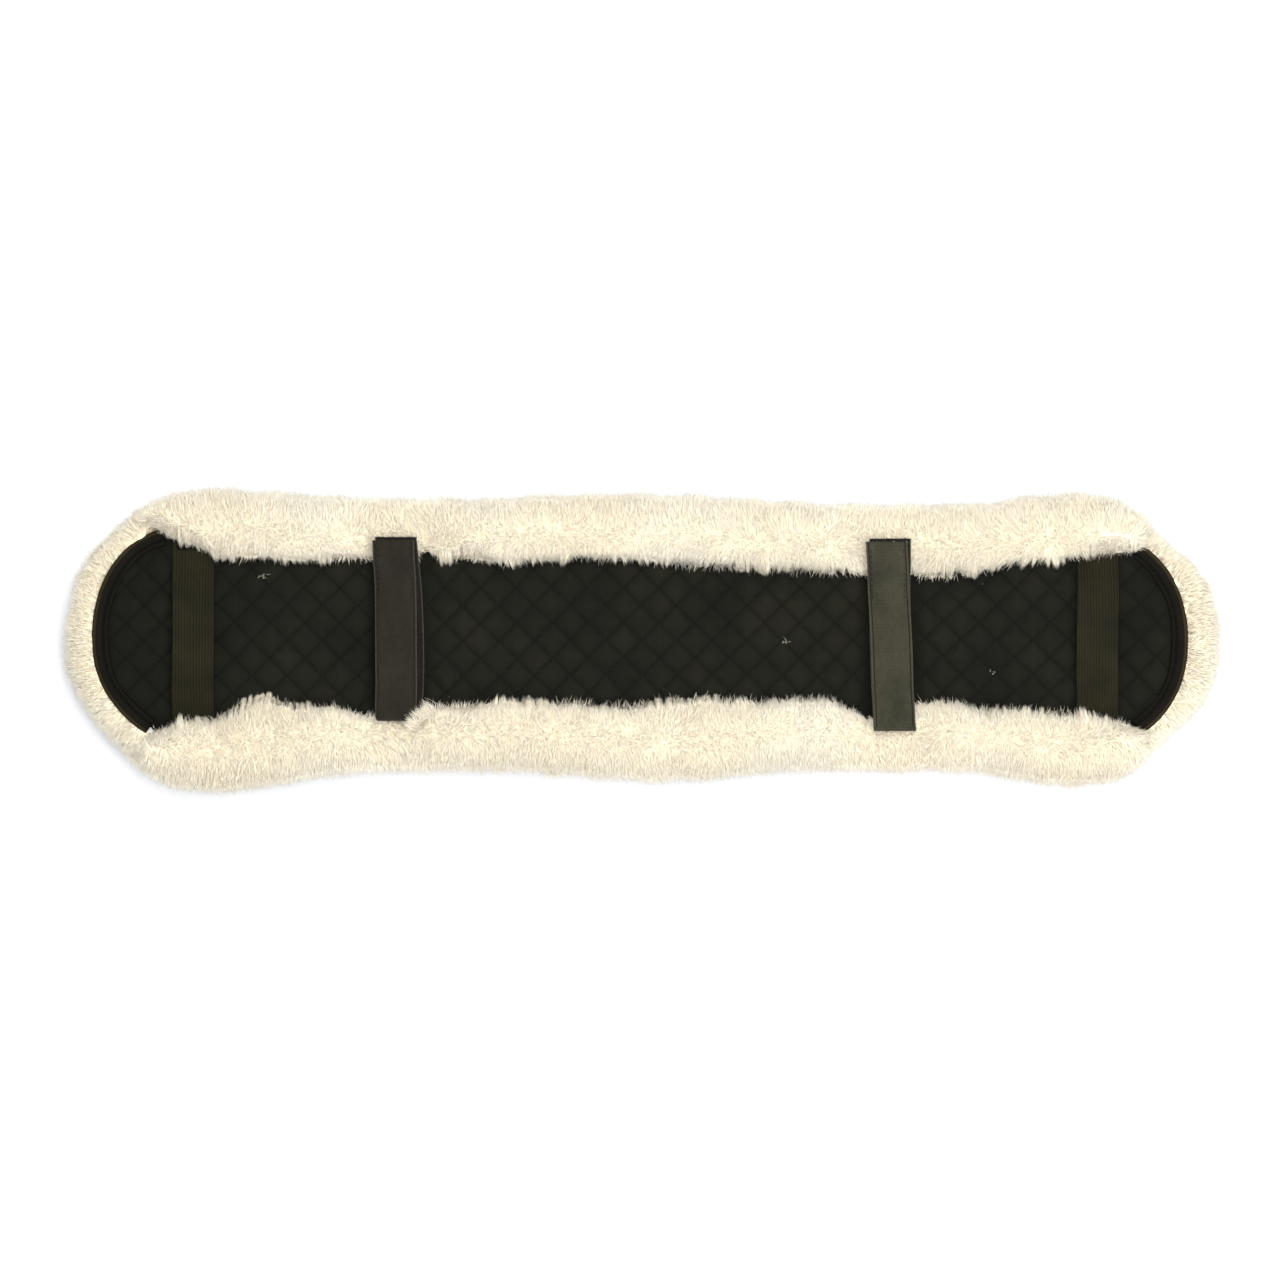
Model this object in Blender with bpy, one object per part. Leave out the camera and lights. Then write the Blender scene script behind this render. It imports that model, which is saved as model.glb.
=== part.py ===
"""A sheepskin girth cover, lying flat with its quilted side up.

A saddle's girth lies in the channel between the two wool rolls, through the elastic loops at
the ends and under the two hook-and-loop straps. The wool underneath lies against the horse.

Metres, +Z up. +X runs along the cover, +Y is its far side, and z = 0 is the surface it lies on.
The origin is in the middle of the cover's length and width.
"""

import math

import bmesh
import bpy

# Whole cover
LENGTH = 0.700
WIDTH = 0.185
ROLL_TOP = 0.046
GAP = 0.0003

# Side outline: a base half width, a slope along the cover, and bulges (centre, spread, height)
FAR_SIDE = {
    "base": 0.0840,
    "slope": -0.012,
    "bulges": ((-0.258, 0.055, 0.0054), (0.0, 0.075, 0.0055), (0.262, 0.045, 0.0090)),
}
NEAR_SIDE = {
    "base": 0.0790,
    "slope": 0.0,
    "bulges": ((-0.258, 0.060, 0.0130), (0.010, 0.060, 0.0070), (0.262, 0.045, 0.0095)),
}
END_FULLNESS = 2.2  # exponent of the rounded ends: 2 is an ellipse

# Rounded ends: (how far they reach, how long the rounded stretch is), left then right
WOOL_ENDS = ((LENGTH / 2, 0.100), (LENGTH / 2, 0.110))
PANEL_ENDS = {  # for each side: the panel's far left corner is squarer than its near one
    1: ((0.3315, 0.052), (0.329, 0.046)),
    -1: ((0.3315, 0.068), (0.329, 0.046)),
}
PANEL_INSET = 0.024  # from the cover's side to the quilted panel's hidden edge
STATION_STEP = 0.015
END_STATIONS = 8

# Layers, from the bottom up
PILE_TOP = 0.0200
HIDE_BOTTOM = 0.0215
HIDE_THICKNESS = 0.0015
BACKING_THICKNESS = 0.0005
WADDING_THICKNESS = 0.0037
FACE_THICKNESS = 0.0008
HIDE_TOP = HIDE_BOTTOM + HIDE_THICKNESS
BACKING_BOTTOM = HIDE_TOP + GAP
WADDING_BOTTOM = BACKING_BOTTOM + BACKING_THICKNESS + GAP
FACE_BOTTOM = WADDING_BOTTOM + WADDING_THICKNESS + GAP
FACE_TOP = FACE_BOTTOM + FACE_THICKNESS
CENTRE_STRIP = 0.55  # share of the panel's half width in its middle strip
SEAT_CROWN = 0.0003  # the face cloth stands a little higher where the girth bears on it
SEAT_HALF_LENGTH = 0.115
SEAT_EDGE = 0.006

# Rolled edges
ROLL_STARTS = (-0.298, 0.300)
ROLL_WIDTH = {1: 0.042, -1: 0.044}
LIP_BOTTOM = FACE_TOP + GAP
LIP_TOP = LIP_BOTTOM + HIDE_THICKNESS
LIP_WIDTH = 0.013
CURL_INSET = 0.0233  # from the cover's side to the centre of the hide's curl
CURL_STEPS = 5
CROWN_BASE = 0.0315  # the roll is pressed down towards this height under each strap
STRAP_PRESS = 0.62
PRESS_HALF_WIDTH = 0.030
END_DROOP = 0.45
END_DROOP_LENGTH = 0.030

# Binding tape
BINDING_WIDTH = 0.0080
BINDING_THICKNESS = 0.0008
BINDING_START = 0.0015  # clear of the roll's end
BINDING_SLACK = 0.0008  # between the panel's cut edge and the tape folded over it
END_STEPS = 18
END_PILE_INSET = 0.003

# Elastic loops
ELASTIC_WIDTH = 0.025
ELASTIC_THICKNESS = 0.0012
ELASTIC_RISE = 0.006
ELASTIC_LIFT_OFF = 0.044
ELASTIC_TUCK = 0.039  # from the cover's side to the elastic's sewn end
ELASTICS = {"left": -0.271, "right": 0.275}

# Hook-and-loop straps
STRAP_WIDTH = 0.025
WEBBING_THICKNESS = 0.0012
TAPE_THICKNESS = 0.0010
STRAP_RISE = 0.0086
FLAP_ARCH = 0.0042
NOSE_LENGTH = 0.0008
STRAPS = {
    "left": {
        "x": -0.1485,
        "base_shift": 0.0020,
        "flap_skew": -0.016,
        "base_skew": -0.030,
        "far": 0.0600,
        "near": -0.0470,
    },
    "right": {
        "x": 0.1500,
        "base_shift": 0.0008,
        "flap_skew": -0.046,
        "base_skew": -0.022,
        "far": 0.0590,
        "near": -0.0530,
    },
}
BASE_PEEK = 0.002  # how far the base strap shows past the flap's free end
TAPE_LENGTH = 0.032
TAPE_INSET = 0.002
STRAP_STEPS = 26

# Thread tacks
TACK_WIDTH = 0.020
TACK_LENGTH = 0.004
TACK_THICKNESS = 0.0006
BASE_TACK_Y = 0.018

# Colours, as 0 to 255 values of the real materials
WOOL_COLOUR = (245, 234, 208)
SUEDE_COLOUR = (214, 196, 164)
QUILT_COLOUR = (35, 34, 30)
BACKING_COLOUR = (28, 27, 25)
WADDING_COLOUR = (232, 232, 228)
BINDING_COLOUR = (26, 24, 18)
ELASTIC_COLOUR = (48, 45, 32)
WEBBING_COLOUR = (56, 53, 46)
HOOK_COLOUR = (20, 20, 20)
LOOP_COLOUR = (44, 42, 38)
THREAD_COLOUR = (30, 29, 26)


def clear_scene():
    for item in list(bpy.data.objects):
        bpy.data.objects.remove(item, do_unlink=True)


def linear(value):
    """A 0 to 255 display value as the linear value that a shader takes."""
    share = value / 255
    if share <= 0.04045:
        return share / 12.92
    return ((share + 0.055) / 1.055) ** 2.4


def make_material(name, colour, roughness):
    material = bpy.data.materials.new(name)
    material.use_nodes = True
    shader = material.node_tree.nodes["Principled BSDF"]
    shader.inputs["Base Color"].default_value = (*(linear(c) for c in colour), 1.0)
    shader.inputs["Roughness"].default_value = roughness
    shader.inputs["Metallic"].default_value = 0.0
    return material


def raw_half_width(x, side):
    """Half width before it is scaled to the cover's overall width."""
    shape = FAR_SIDE if side > 0 else NEAR_SIDE
    width = shape["base"] + shape["slope"] * x
    for centre, spread, height in shape["bulges"]:
        width += height * math.exp(-(((x - centre) / spread) ** 2))
    return width


def widest(side):
    steps = 350
    places = (LENGTH * (i / steps - 0.5) for i in range(steps + 1))
    return max(raw_half_width(x, side) for x in places)


SIDE_SCALE = {side: WIDTH / 2 / widest(side) for side in (1, -1)}


def half_width(x, side):
    return raw_half_width(x, side) * SIDE_SCALE[side]


def outline_y(x, side, inset, ends):
    """Distance from the middle to an outline inset from the cover's side, with rounded ends."""
    reach, taper = ends[1] if x > 0 else ends[0]
    full = half_width(x, side) - inset
    along = (abs(x) - (reach - taper)) / taper
    if along <= 0:
        return full
    return full * (1 - min(along, 1.0) ** END_FULLNESS) ** (1 / END_FULLNESS)


def panel_edge(x, side):
    return outline_y(x, side, PANEL_INSET, PANEL_ENDS[side])


def inset_ends(ends, inset):
    return tuple((reach - inset, taper - inset) for reach, taper in ends)


def end_places(end, direction, steps):
    """Places along a rounded end, closer together towards its tip."""
    reach, taper = end
    start = reach - taper
    return [direction * (start + taper * math.sin(i / steps * math.pi / 2)) for i in range(steps + 1)]


def long_places(start, stop, step):
    count = max(1, round((stop - start) / step))
    return [start + (stop - start) * i / count for i in range(count + 1)]


def panel_places():
    """Places along the whole panel. The tips stop just short, so that they keep a width."""
    ends = PANEL_ENDS[-1]  # the longer of the two sides' rounded stretches
    left = end_places(ends[0], -1, END_STATIONS)[::-1]
    right = end_places(ends[1], 1, END_STATIONS)
    middle = long_places(left[-1], right[0], STATION_STEP * 2)
    seat_end = SEAT_HALF_LENGTH + SEAT_EDGE
    edges = (-seat_end, -SEAT_HALF_LENGTH, SEAT_HALF_LENGTH, seat_end)
    middle = sorted([x for x in middle if all(abs(x - edge) > SEAT_EDGE for edge in edges)] + list(edges))
    tip = 0.0001
    return [left[0] + tip, *left[1:], *middle[1:-1], *right[:-1], right[-1] - tip]


def make_object(name, verts, faces, material):
    mesh = bpy.data.meshes.new(name)
    mesh.from_pydata(verts, [], faces)
    shell = bmesh.new()
    shell.from_mesh(mesh)
    bmesh.ops.recalc_face_normals(shell, faces=shell.faces)
    shell.to_mesh(mesh)
    shell.free()
    mesh.materials.append(material)
    item = bpy.data.objects.new(name, mesh)
    bpy.context.scene.collection.objects.link(item)
    return item


def loft(name, rings, material):
    """A closed solid through rings of the same number of points, with a flat cap at each end."""
    count = len(rings[0])
    verts = [point for ring in rings for point in ring]
    faces = []
    for r in range(len(rings) - 1):
        for i in range(count):
            j = (i + 1) % count
            low = r * count
            high = low + count
            faces.append((low + i, low + j, high + j, high + i))
    faces.append(tuple(reversed(range(count))))
    last = (len(rings) - 1) * count
    faces.append(tuple(range(last, last + count)))
    return make_object(name, verts, faces, material)


def sweep(name, places, section, material):
    """A solid swept along X. section(x) gives its outline there, as (y, z) points."""
    rings = [[(x, y, z) for y, z in section(x)] for x in places]
    return loft(name, rings, material)


def smooth(item, degrees=40):
    item.data.shade_smooth()
    item.data.set_sharp_from_angle(angle=math.radians(degrees))


# ---- Quilted panel ----


def layer_section(x, bottom, top, crown):
    far = panel_edge(x, 1)
    near = -panel_edge(x, -1)
    inner_near = near * CENTRE_STRIP
    inner_far = far * CENTRE_STRIP
    seat = top + (crown if abs(x) <= SEAT_HALF_LENGTH else 0.0)
    low = [(y, bottom) for y in (near, inner_near, inner_far, far)]
    return low + [(far, top), (inner_far, seat), (inner_near, seat), (near, top)]


def make_panel(cloth, backing, wadding):
    layers = (
        ("quilt_backing_cloth", BACKING_BOTTOM, BACKING_THICKNESS, 0.0, backing),
        ("quilt_wadding", WADDING_BOTTOM, WADDING_THICKNESS, 0.0, wadding),
        ("quilt_face_cloth", FACE_BOTTOM, FACE_THICKNESS, SEAT_CROWN, cloth),
    )
    places = panel_places()
    for name, bottom, thickness, crown, material in layers:
        top = bottom + thickness
        sweep(name, places, lambda x, b=bottom, t=top, c=crown: layer_section(x, b, t, c), material)


# ---- Sheepskin ----


def wool_ring(inset, z):
    """The cover's outline at one height, all the way round."""
    ends = inset_ends(WOOL_ENDS, inset)
    left = end_places(ends[0], -1, END_STATIONS)[::-1]
    right = end_places(ends[1], 1, END_STATIONS)
    middle = long_places(-WOOL_ENDS[0][0] + WOOL_ENDS[0][1], WOOL_ENDS[1][0] - WOOL_ENDS[1][1], 0.03)
    places = [*left[:-1], *middle, *right[1:]]
    far = [(x, outline_y(x, 1, inset, ends), z) for x in places]
    near = [(x, -outline_y(x, -1, inset, ends), z) for x in reversed(places[1:-1])]
    return far + near


def make_underside(material):
    levels = (
        (0.0110, 0.0),
        (0.0040, 0.0030),
        (0.0, 0.0105),
        (0.0015, 0.0165),
        (0.0040, PILE_TOP),
    )
    smooth(loft("fleece_underside", [wool_ring(inset, z) for inset, z in levels], material))


def curl_arc(radius, side_y, side):
    """Half a turn around the hide's curl, from its top round the outside to its bottom."""
    middle = (LIP_TOP + HIDE_BOTTOM) / 2
    centre = side_y - side * CURL_INSET
    points = []
    for i in range(CURL_STEPS + 1):
        angle = math.pi / 2 - math.pi * i / CURL_STEPS
        points.append((centre + side * radius * math.cos(angle), middle + radius * math.sin(angle)))
    return points


def curl_section(x, side):
    """The hide's edge: a stretch of the flat skin, the curl, and the lip over the panel."""
    side_y = side * half_width(x, side)
    radius = (LIP_TOP - HIDE_BOTTOM) / 2
    lip_end = side_y - side * (CURL_INSET + LIP_WIDTH)
    joined = side_y - side * (CURL_INSET + LIP_WIDTH / 2)
    outer = curl_arc(radius, side_y, side)
    inner = curl_arc(radius - HIDE_THICKNESS, side_y, side)
    return [
        (lip_end, LIP_TOP),
        *outer,
        (joined, HIDE_BOTTOM),
        (joined, HIDE_TOP),
        *reversed(inner),
        (lip_end, LIP_BOTTOM),
    ]


def hide_sheet_section(x):
    far = panel_edge(x, 1)
    near = -panel_edge(x, -1)
    return [(near, HIDE_BOTTOM), (far, HIDE_BOTTOM), (far, HIDE_TOP), (near, HIDE_TOP)]


def roll_places():
    """Places along a roll, with more of them where a strap presses it down."""
    places = set(long_places(*ROLL_STARTS, STATION_STEP))
    for strap in STRAPS.values():
        near_strap = {strap["x"] + offset for offset in (-0.036, -0.027, -0.019, 0.019, 0.027, 0.036)}
        places = {x for x in places if all(abs(x - other) > 0.004 for other in near_strap)}
        places |= near_strap
    return sorted(places)


def press(x):
    """How far the roll is pressed down here: 1 under a strap, and some droop at its two ends."""
    pressed = 0.0
    for strap in STRAPS.values():
        pressed += STRAP_PRESS / (1 + ((x - strap["x"]) / PRESS_HALF_WIDTH) ** 8)
    to_end = min(x - ROLL_STARTS[0], ROLL_STARTS[1] - x)
    droop = END_DROOP * max(0.0, 1 - to_end / END_DROOP_LENGTH) ** 2
    return 1 - pressed - droop


def roll_section(x, side):
    """Pile around the hide's curl: up the outside, over the crown and down to its lip."""
    side_y = side * half_width(x, side)
    outer_y = side * outline_y(x, side, 0.0, WOOL_ENDS)
    tip_y = side_y - side * ROLL_WIDTH[side]
    height = press(x)
    clear = (LIP_TOP - HIDE_BOTTOM) / 2 + GAP
    crown = (
        (0.05, 0.0260),
        (0.09, 0.0345),
        (0.22, 0.0412),
        (0.42, 0.0450),
        (0.62, ROLL_TOP),
        (0.82, 0.0432),
        (0.95, 0.0392),
        (1.00, 0.0355),
        (0.94, 0.0326),
    )
    points = [(outer_y - side * 0.0045, PILE_TOP + GAP)]
    for share, z in crown:
        lifted = z if z < CROWN_BASE else CROWN_BASE + (z - CROWN_BASE) * height
        points.append((outer_y + (tip_y - outer_y) * share, lifted))
    points.append((side_y - side * (CURL_INSET + LIP_WIDTH + GAP), LIP_TOP + GAP))
    points.extend(curl_arc(clear, side_y, side))
    points.append((side_y - side * (CURL_INSET - 0.001), PILE_TOP + GAP))
    return points


def join(item, other):
    """Union of two solids in one object."""
    union = item.modifiers.new("union", "BOOLEAN")
    union.operation = "UNION"
    union.solver = "EXACT"
    union.object = other
    bpy.context.view_layer.update()
    shape = bpy.data.meshes.new_from_object(item.evaluated_get(bpy.context.evaluated_depsgraph_get()))
    item.modifiers.clear()
    item.data = shape
    bpy.data.objects.remove(other, do_unlink=True)


def make_hide(material):
    hide = sweep("sheepskin_hide", panel_places(), hide_sheet_section, material)
    for side in (1, -1):
        curled = sweep(
            "curled_edge",
            roll_places(),
            lambda x, s=side: curl_section(x, s),
            material,
        )
        join(hide, curled)
    smooth(hide)


def make_rolls(material):
    places = roll_places()
    for side, name in ((1, "fleece_roll_far"), (-1, "fleece_roll_near")):
        smooth(sweep(name, places, lambda x, s=side: roll_section(x, s), material))


# ---- Rounded ends: binding and the wool beyond it ----


def end_point(share, which, start, ends, inset, side_inset):
    """A point on a rounded end: share runs from -1 at its near start to 1 at its far start."""
    reach, taper = ends[which]
    centre = reach - taper
    power = 2 / END_FULLNESS
    widest_angle = math.acos(((start - centre) / (taper - inset)) ** (1 / power))
    angle = widest_angle * share
    x = centre + (taper - inset) * math.cos(angle) ** power
    side = 1 if share >= 0 else -1
    direction = 1 if which else -1
    full = half_width(direction * x, side) - side_inset - inset
    return direction * x, side * full * abs(math.sin(angle)) ** power


def bound_end_point(share, which, start, inset):
    """A point on or inside the panel's own rounded end."""
    ends = PANEL_ENDS[1 if share >= 0 else -1]
    return end_point(share, which, start, ends, inset, PANEL_INSET)


def end_shares():
    return [2 * i / END_STEPS - 1 for i in range(END_STEPS + 1)]


def make_binding(name, which, material):
    start = abs(ROLL_STARTS[which]) + BINDING_START
    bottom = HIDE_BOTTOM - GAP - BINDING_THICKNESS
    top = FACE_TOP + GAP + BINDING_THICKNESS
    outside = -BINDING_SLACK - BINDING_THICKNESS
    soft = BINDING_THICKNESS
    profile = (
        (BINDING_WIDTH, bottom),
        (outside + soft, bottom),
        (outside, bottom + soft),
        (outside, top - soft),
        (outside + soft, top),
        (BINDING_WIDTH, top),
        (BINDING_WIDTH, top - BINDING_THICKNESS),
        (-BINDING_SLACK, top - BINDING_THICKNESS),
        (-BINDING_SLACK, bottom + BINDING_THICKNESS),
        (BINDING_WIDTH, bottom + BINDING_THICKNESS),
    )
    rings = []
    for share in end_shares():
        corners = [(bound_end_point(share, which, start, inset), z) for inset, z in profile]
        rings.append([(x, y, z) for (x, y), z in corners])
    smooth(loft(name, rings, material))


def make_end_fleece(name, which, material):
    """Pile that stands up around the bound end, outside the binding."""
    start = abs(ROLL_STARTS[which]) + BINDING_START
    clear = -BINDING_SLACK - BINDING_THICKNESS - 2 * GAP
    profile = (
        (0.0, PILE_TOP + GAP),
        (1.0, PILE_TOP + GAP),
        (1.0, 0.0250),
        (0.75, 0.0300),
        (0.40, 0.0325),
        (0.0, 0.0310),
    )
    rings = []
    for share in end_shares():
        inner = bound_end_point(share, which, start, clear)
        outer = end_point(share, which, start, WOOL_ENDS, END_PILE_INSET, 0.0)
        ring = []
        for out, z in profile:
            x = inner[0] + (outer[0] - inner[0]) * out
            y = inner[1] + (outer[1] - inner[1]) * out
            ring.append((x, y, z))
        rings.append(ring)
    smooth(loft(name, rings, material))


# ---- Elastic loops ----


def elastic_height(y):
    """Underside of the elastic: sewn flat at the ends and bowed up between them."""
    across = min(1.0, abs(y) / ELASTIC_LIFT_OFF)
    return FACE_TOP + GAP + ELASTIC_RISE * (1 - across**4)


def ribbon(near, far, steps, underside, thickness):
    """The outline of a tape seen from its edge, as (y, z) points."""
    across = [near + (far - near) * i / steps for i in range(steps + 1)]
    low = [(y, underside(y)) for y in across]
    high = [(y, z + thickness) for y, z in reversed(low)]
    return low + high


def make_strip(name, centre, width, outline, skew, material):
    """A tape of even width across the cover. skew shifts it along X as it runs across."""
    rings = []
    for edge in (centre - width / 2, centre + width / 2):
        rings.append([(edge + skew * y, y, z) for y, z in outline])
    return loft(name, rings, material)


def make_elastic(side_name, centre, elastic, thread):
    far = half_width(centre, 1) - ELASTIC_TUCK
    near = -(half_width(centre, -1) - ELASTIC_TUCK)
    outline = ribbon(near, far, 20, elastic_height, ELASTIC_THICKNESS)
    smooth(make_strip(f"elastic_loop_{side_name}", centre, ELASTIC_WIDTH, outline, 0.0, elastic))
    seat = FACE_TOP + 2 * GAP + ELASTIC_THICKNESS
    for place, end in (("far", far), ("near", near)):
        toward = -1 if end > 0 else 1
        edges = sorted((end + toward * 0.001, end + toward * (0.001 + TACK_LENGTH)))
        tack = ribbon(*edges, 1, lambda _y: seat, TACK_THICKNESS)
        make_strip(f"elastic_tack_{side_name}_{place}", centre, TACK_WIDTH, tack, 0.0, thread)


# ---- Hook-and-loop straps ----


def ease(share):
    share = min(1.0, max(0.0, share))
    return share * share * (3 - 2 * share)


def base_height(y, centre):
    """Underside of the base strap: flat on the quilt, and up onto the roll at both ends."""
    side = 1 if y >= 0 else -1
    tip = half_width(centre, side) - ROLL_WIDTH[side]
    return FACE_TOP + GAP + STRAP_RISE * ease((abs(y) - (tip - 0.011)) / 0.018)


def flap_height(y, centre, far):
    """Underside of the flap: clear of both tapes, with a bow over the girth's way through."""
    stack = WEBBING_THICKNESS + 2 * TAPE_THICKNESS + 3 * GAP
    tapes_start = far - TAPE_LENGTH - TAPE_INSET
    bow_middle = (tapes_start - 0.036) / 2
    bow_reach = (tapes_start + 0.036) / 2 + 0.006
    across = min(1.0, abs(y - bow_middle) / bow_reach)
    return base_height(y, centre) + stack + FLAP_ARCH * (1 - across**2) ** 2


def make_strap(side_name, strap, webbing, hook, loop, thread):
    centre = strap["x"]
    far = strap["far"]
    near = strap["near"]
    base_x = centre + strap["base_shift"]
    top_of_base = WEBBING_THICKNESS + GAP

    def lifted(lift):
        return lambda y: base_height(y, centre) + lift

    base = ribbon(near, far + BASE_PEEK, STRAP_STEPS, lifted(0.0), WEBBING_THICKNESS)
    smooth(make_strip(f"strap_base_{side_name}", base_x, STRAP_WIDTH, base, strap["base_skew"], webbing))

    tape_span = (far - TAPE_INSET - TAPE_LENGTH, far - TAPE_INSET)
    hooks = ribbon(*tape_span, 10, lifted(top_of_base), TAPE_THICKNESS)
    hook_width = STRAP_WIDTH - 2 * TAPE_INSET
    smooth(make_strip(f"hook_tape_{side_name}", base_x, hook_width, hooks, strap["base_skew"], hook))

    for place, y in (("far", BASE_TACK_Y), ("near", -BASE_TACK_Y)):
        span = (y - TACK_LENGTH / 2, y + TACK_LENGTH / 2)
        tack = ribbon(*span, 1, lifted(top_of_base), TACK_THICKNESS)
        name = f"strap_tack_{side_name}_{place}"
        make_strip(name, base_x, TACK_WIDTH, tack, strap["base_skew"], thread)

    def under_flap(y):
        return flap_height(y, centre, far)

    pivot = empty_at_fold(side_name, strap)
    flap = ribbon(near + NOSE_LENGTH, far, STRAP_STEPS, under_flap, WEBBING_THICKNESS)
    flap_item = make_strip(
        f"strap_flap_{side_name}", centre, STRAP_WIDTH, flap, strap["flap_skew"], webbing
    )
    loops = ribbon(*tape_span, 10, lambda y: under_flap(y) - GAP - TAPE_THICKNESS, TAPE_THICKNESS)
    loop_item = make_strip(f"loop_tape_{side_name}", centre, hook_width, loops, strap["flap_skew"], loop)
    for item in (flap_item, loop_item):
        smooth(item)
        item.parent = pivot
        item.matrix_parent_inverse = pivot.matrix_world.inverted()


def empty_at_fold(side_name, strap):
    """The flap's fold line, which its hinge lies on."""
    height = flap_height(strap["near"], strap["x"], strap["far"]) + WEBBING_THICKNESS / 2
    pivot = bpy.data.objects.new(f"fold_line_{side_name}", None)
    pivot.location = (strap["x"], strap["near"], height)
    bpy.context.scene.collection.objects.link(pivot)
    bpy.context.view_layer.update()
    return pivot


def main():
    clear_scene()
    wool = make_material("cream_wool", WOOL_COLOUR, 0.95)
    suede = make_material("suede_hide", SUEDE_COLOUR, 0.9)
    quilt = make_material("black_quilt_cloth", QUILT_COLOUR, 0.85)
    backing = make_material("black_backing_cloth", BACKING_COLOUR, 0.9)
    wadding = make_material("white_wadding", WADDING_COLOUR, 0.95)
    tape = make_material("black_binding_tape", BINDING_COLOUR, 0.75)
    elastic = make_material("olive_elastic", ELASTIC_COLOUR, 0.8)
    webbing = make_material("charcoal_webbing", WEBBING_COLOUR, 0.7)
    hook = make_material("hook_tape", HOOK_COLOUR, 0.5)
    loop = make_material("loop_tape", LOOP_COLOUR, 0.95)
    thread = make_material("black_thread", THREAD_COLOUR, 0.6)

    make_underside(wool)
    make_rolls(wool)
    make_hide(suede)
    make_panel(quilt, backing, wadding)
    for which, side_name in enumerate(("left", "right")):
        make_binding(f"end_binding_{side_name}", which, tape)
        make_end_fleece(f"fleece_end_{side_name}", which, wool)
        make_elastic(side_name, ELASTICS[side_name], elastic, thread)
        make_strap(side_name, STRAPS[side_name], webbing, hook, loop, thread)


main()
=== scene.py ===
"""The looks of the sheepskin girth cover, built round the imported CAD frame.

Everything is in metres. Places and sizes come from the frame's own nodes; the lengths named
below are those of the finish: pile, weave, stitches and seams.
"""

import math

import bmesh
import bpy
import numpy as np
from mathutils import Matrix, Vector
from mathutils.bvhtree import BVHTree


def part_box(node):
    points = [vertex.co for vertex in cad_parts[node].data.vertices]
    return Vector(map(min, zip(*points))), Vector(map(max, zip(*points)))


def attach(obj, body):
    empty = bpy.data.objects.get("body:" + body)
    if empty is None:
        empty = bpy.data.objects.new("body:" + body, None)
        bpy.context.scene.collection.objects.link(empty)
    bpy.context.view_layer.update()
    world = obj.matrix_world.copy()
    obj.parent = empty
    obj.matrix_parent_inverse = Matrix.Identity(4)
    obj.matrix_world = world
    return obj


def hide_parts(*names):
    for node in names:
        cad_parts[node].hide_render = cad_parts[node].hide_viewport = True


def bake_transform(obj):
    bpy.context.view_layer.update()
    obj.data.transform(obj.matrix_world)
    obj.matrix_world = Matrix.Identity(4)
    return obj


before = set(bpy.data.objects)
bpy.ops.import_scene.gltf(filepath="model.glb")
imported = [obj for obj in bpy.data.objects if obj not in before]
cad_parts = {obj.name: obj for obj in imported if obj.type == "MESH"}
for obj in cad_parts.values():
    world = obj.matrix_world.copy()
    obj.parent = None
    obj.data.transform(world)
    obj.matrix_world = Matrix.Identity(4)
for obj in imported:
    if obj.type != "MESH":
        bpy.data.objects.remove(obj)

# Stage
FRAME_WIDTH = 0.7738  # what the picture is wide, at the cover
FRAME_SHIFT = 0.0012
LENS = 120.0
SENSOR = 36.0
FLOOR_SIZE = 30.0
FLOOR_COLOUR = (0.76, 0.775, 0.80, 1.0)
SKY_COLOUR = (0.97, 0.98, 1.0, 1.0)
SKY_STRENGTH = 1.10
LIGHT_COLOUR = (1.0, 0.985, 0.96)
LIGHTS = (  # name, place, size across and watts
    ("key", (0.10, 0.55, 1.35), 1.1, 17.0),
    ("fill", (0.60, -0.65, 1.25), 1.3, 15.0),
)

# Quilting
QUILT_PITCH = 0.0152
QUILT_CELLS = 7  # mesh squares along one side of a diamond
SEAM_DROP = 0.0011
PUFF_LIMIT = 0.0027
PUFF_FRAMES = 20
PUFF_PRESSURE = 2000.0
CLOTH_THICKNESS = 0.0006
CLOTH = {
    "quality": 6,
    "mass": 0.05,
    "tension_stiffness": 5,
    "compression_stiffness": 5,
    "shear_stiffness": 1.7,
    "bending_stiffness": 0.3,
    "tension_damping": 25,
    "compression_damping": 25,
    "shear_damping": 25,
    "bending_damping": 5,
    "air_damping": 2,
    "shrink_min": -0.06,
    "vertex_group_mass": "seams",
    "use_pressure": True,
    "uniform_pressure_force": PUFF_PRESSURE,
}
SEAM_REACH = (0.325, 0.060)  # as far as quilting thread can show, either way from the middle
FLAT_BORDER = 0.009  # how far in from the panel's edge the quilting lies flat
STITCH_PITCH = 0.0034
STITCH_LENGTH = 0.0023
STITCH_RADIUS = 0.00028

# Wool
WOOL_NODES = (
    "fleece_underside",
    "fleece_roll_far",
    "fleece_roll_near",
    "fleece_end_left",
    "fleece_end_right",
)
WRAPPED_NODES = (
    "sheepskin_hide",
    "quilt_backing_cloth",
    "quilt_wadding",
    "end_binding_left",
    "end_binding_right",
)
BODY_VOXEL = 0.0028
BODY_INSET = 0.0022
UNDER_INSET = 0.0018
BODY_FLOOR = 0.0012
CORNER_FULLNESS = 0.0050
TIP_FULLNESS = (0.0022, 0.0010)  # at the right end and at the left one
COAT_SPACING = 0.70e-6  # square metres of skin for each strand
UNDER_SPACING = 6.0e-6
STRAND_LENGTH = (0.0065, 0.0120)
SHORTEST_STRAND = 0.0013
STRAND_RADIUS = (0.00014, 0.00030)
STRAND_FLOOR = 0.0004  # no strand reaches lower
ROOT_FLOOR = 0.0008
TIP_FLOOR = 0.0006
STRAIGHT = np.zeros(3)  # no droop
CORNER_X = 0.291  # where the pile stands out most, from the middle
CORNER_SPREADS = (0.026, 0.024)  # at the right end and at the left one
FAR_LEFT_SHARE = 0.4  # of the fullness at the other corners
END_X = 0.296  # where the pile starts to fan out round the ends
FAN_X = 0.258  # the middle of the fan
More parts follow.
